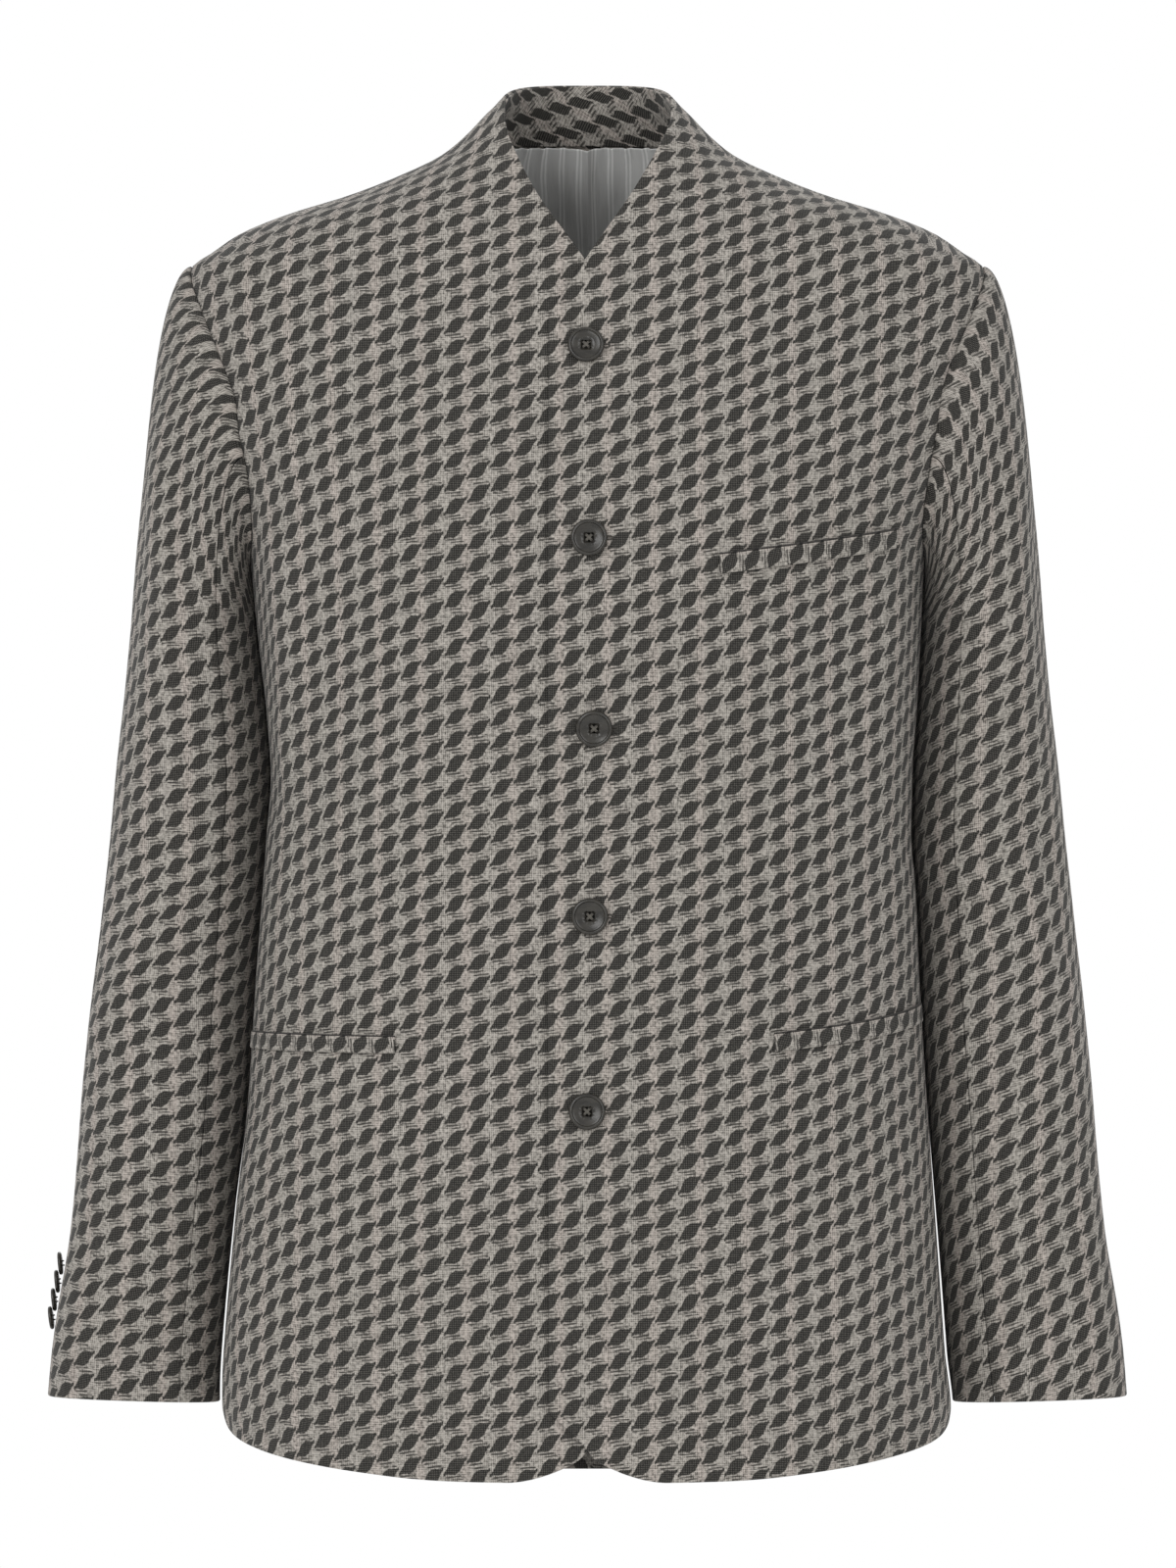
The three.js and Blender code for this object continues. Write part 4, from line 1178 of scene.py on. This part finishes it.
# A turned button with four holes cut through it
def drilled(size, sides):
    points, faces = lathe(buttonProfile(size["radius"], size["height"]), sides)
    blank = newObject("blankButton", points, faces, horn, None)
    cutters = []
    spread = size["holeSpread"]
    for i, j in ((1, 1), (1, -1), (-1, 1), (-1, -1)):
        r, h = size["holeRadius"], size["height"]
        profile = [(0, -1), (r, -1), (r, h + 1), (0, h + 1)]
        pinPoints, pinFaces = lathe(profile, 16)
        cutters.append((pinPoints + np.array([i * spread, j * spread, 0]), pinFaces))
    pins = joined("blankPins", cutters, horn)
    cut = blank.modifiers.new("holes", "BOOLEAN")
    cut.object = pins
    cut.operation = "DIFFERENCE"
    cut.solver = "EXACT"
    bpy.context.view_layer.update()
    graph = bpy.context.evaluated_depsgraph_get()
    mesh = bpy.data.meshes.new_from_object(blank.evaluated_get(graph))
    bpy.data.objects.remove(blank)
    bpy.data.objects.remove(pins)
    return mesh


# A copy of the drilled button at its place on the cloth
def buttonFrom(template, name, node, at, axis):
    mesh = template.copy()
    mesh.name = name
    count = len(mesh.vertices)
    flat = np.empty(count * 3)
    mesh.vertices.foreach_get("co", flat)
    mesh.vertices.foreach_set("co", (place(flat.reshape(-1, 3) / mm, at, axis) * mm).ravel())
    mesh.update()
    piece = bpy.data.objects.new(name, mesh)
    bpy.context.scene.collection.objects.link(piece)
    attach(piece, "root")
    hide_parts(node)


# Crossed stitches over the middle of a button, down through its four holes
def crossStitches(size, at, axis):
    spread = size["holeSpread"]
    over = size["height"] * dishShare
    parts = []
    for i, (dx, dy) in enumerate(((1, 1), (1, -1))):
        for strand in (-1, 0, 1):
            t = np.linspace(-1, 1, 15)
            dip = np.clip(np.abs(t) - stitch["dipFrom"], 0, None) * stitch["dip"]
            arch = over + stitch["lift"] + stitch["cross"] * i - dip
            offset = strand * size["holeRadius"] * stitch["spread"]
            path = np.stack([t * spread * dx - offset * dy, t * spread * dy + offset * dx, arch], -1)
            points, faces = tube(path, size["holeRadius"] * stitch["radius"], 8, False)
            parts.append((place(points, at, axis), faces))
    return parts


# Front buttons sit square on the cloth, cuff buttons tilt so that each lies on the next
def makeButtons():
    bigButton, smallButton = drilled(frontButton, 72), drilled(cuffButton, 48)
    stitches = []
    for k, (x, z) in enumerate(zip(frontButtons["x"], frontButtons["z"])):
        angle = angleAtReach(1, x, z)
        axis = bodyNormal(1, angle, z)
        at = bodyPoint(1, angle, z) + axis * frontButton["lift"]
        buttonFrom(bigButton, f"frontButton{k + 1}", f"front_button_{k + 1}", at, axis)
        stitches += crossStitches(frontButton, at, axis)
    tip = cuffButtons["tilt"] * deg
    for side, word in ((1, "left"), (-1, "right")):
        turn = np.array(cuffButtons["turn"][side] * deg)
        for k in range(cuffButtons["count"]):
            z = cuffButtons["topZ"] - k * cuffButtons["pitch"]
            along = np.array(1 + (z - sleeve["topZ"]) / (sleeve["cuffZ"] - sleeve["topZ"]))
            normal = sleeveNormal(side, turn, along)
            down = unit(np.array([0, 0, -1.0]) + normal * normal[2])
            axis = normal * math.cos(tip) + down * math.sin(tip)
            seat = cuffButton["radius"] * math.sin(tip) + cuffButtons["lift"]
            at = sleevePoint(side, turn, along) + normal * seat
            buttonFrom(smallButton, f"{word}CuffButton{k + 1}", f"cuff_button_{word}_{k + 1}", at, axis)
            stitches += crossStitches(cuffButton, at, axis)
    joined("buttonStitches", stitches, buttonThread)


makeButtons()


# A buttonhole is a long loop of close stitches round a slit that lies across the front
def makeButtonholes():
    parts = []
    for x, z in zip(frontButtons["x"], frontButtons["z"]):
        t = np.arange(72) / 72 * tau
        middle = x + (buttonhole["from"] + buttonhole["to"]) / 2
        reach = (buttonhole["to"] - buttonhole["from"]) / 2
        across = middle + reach * np.sign(np.cos(t)) * np.abs(np.cos(t)) ** 0.35
        level = z + buttonhole["halfHeight"] * np.sign(np.sin(t)) * np.abs(np.sin(t)) ** 0.8
        angle = angleAtReach(1, across, level)
        path = bodyPoint(1, angle, level) + bodyNormal(1, angle, level) * buttonhole["lift"]
        parts.append(tube(path, buttonhole["stitch"], 8, True))
    joined("buttonholeStitches", parts, holeThread)


makeButtonholes()
print("buttons and buttonholes made")


# Stage, light and camera


stage = {"reach": 4.0, "z": -1.6}  # metres


# A square floor below the picture
def makeStage():
    mesh = bpy.data.meshes.new("floor")
    reach, z = stage["reach"], stage["z"]
    mesh.from_pydata([(-reach, -reach, z), (reach, -reach, z), (reach, reach, z), (-reach, reach, z)], [],
                     [(0, 1, 2, 3)])
    mesh.materials.append(makeFloor())
    floor = bpy.data.objects.new("floor", mesh)
    bpy.context.scene.collection.objects.link(floor)


# A soft rectangle that looks from its place at its aim, in metres and watts
def addLight(name, size, power, at, aim):
    data = bpy.data.lights.new(name, "AREA")
    data.shape = "RECTANGLE"
    data.size, data.size_y = size
    data.energy = power
    light = bpy.data.objects.new(name, data)
    bpy.context.scene.collection.objects.link(light)
    light.location = at
    light.rotation_euler = (Vector(aim) - Vector(at)).to_track_quat("-Z", "Y").to_euler()


lights = [
    {"name": "keyLight", "size": (2.2, 2.6), "power": 48, "at": (-2.3, -3.2, 1.5), "aim": (0, 0, -0.35)},
    {"name": "fillLight", "size": (2.2, 2.6), "power": 25, "at": (2.6, -3.0, 1.1), "aim": (0, 0, -0.35)},
    {"name": "frontLight", "size": (1.5, 1.5), "power": 26, "at": (-1.5, -6.0, 0.5), "aim": (0, 0, -0.35)},
    {"name": "backLight", "size": (2.5, 2.0), "power": 25, "at": (0.3, 3.2, 1.6), "aim": (0, 0, -0.35)},
]

makeStage()
for light in lights:
    addLight(**light)

skyStrength = 0.62  # of the even light round the garment; the camera sees pure white
world = bpy.data.worlds.new("studio")
bpy.context.scene.world = world
world.use_nodes = True
sky = world.node_tree
plain = sky.nodes["Background"]
plain.inputs["Color"].default_value = (1, 1, 1, 1)
plain.inputs["Strength"].default_value = skyStrength
seen = sky.nodes.new("ShaderNodeBackground")
seen.inputs["Color"].default_value = (1, 1, 1, 1)
path = sky.nodes.new("ShaderNodeLightPath")
blend = sky.nodes.new("ShaderNodeMixShader")
sky.links.new(path.outputs["Is Camera Ray"], blend.inputs[0])
sky.links.new(plain.outputs[0], blend.inputs[1])
sky.links.new(seen.outputs[0], blend.inputs[2])
sky.links.new(blend.outputs[0], sky.nodes["World Output"].inputs["Surface"])

# The picture is 1600 pixels high and shows 0.54 mm a pixel at 7 m
camera = {"distance": 7.0, "x": 0.00027, "z": -0.3483, "height": 1600 * 0.00054, "sensor": 36.0, "reach": 100.0}
lens = bpy.data.cameras.new("camera")
lens.sensor_width = camera["sensor"]
lens.lens = camera["sensor"] * camera["distance"] / camera["height"]
lens.clip_end = camera["reach"]
eye = bpy.data.objects.new("camera", lens)
eye.location = (camera["x"], -camera["distance"], camera["z"])
eye.rotation_euler = (math.pi / 2, 0, 0)
bpy.context.scene.collection.objects.link(eye)
bpy.context.scene.camera = eye
bpy.context.scene.view_settings.view_transform = "Standard"
print("stage, light and camera made")
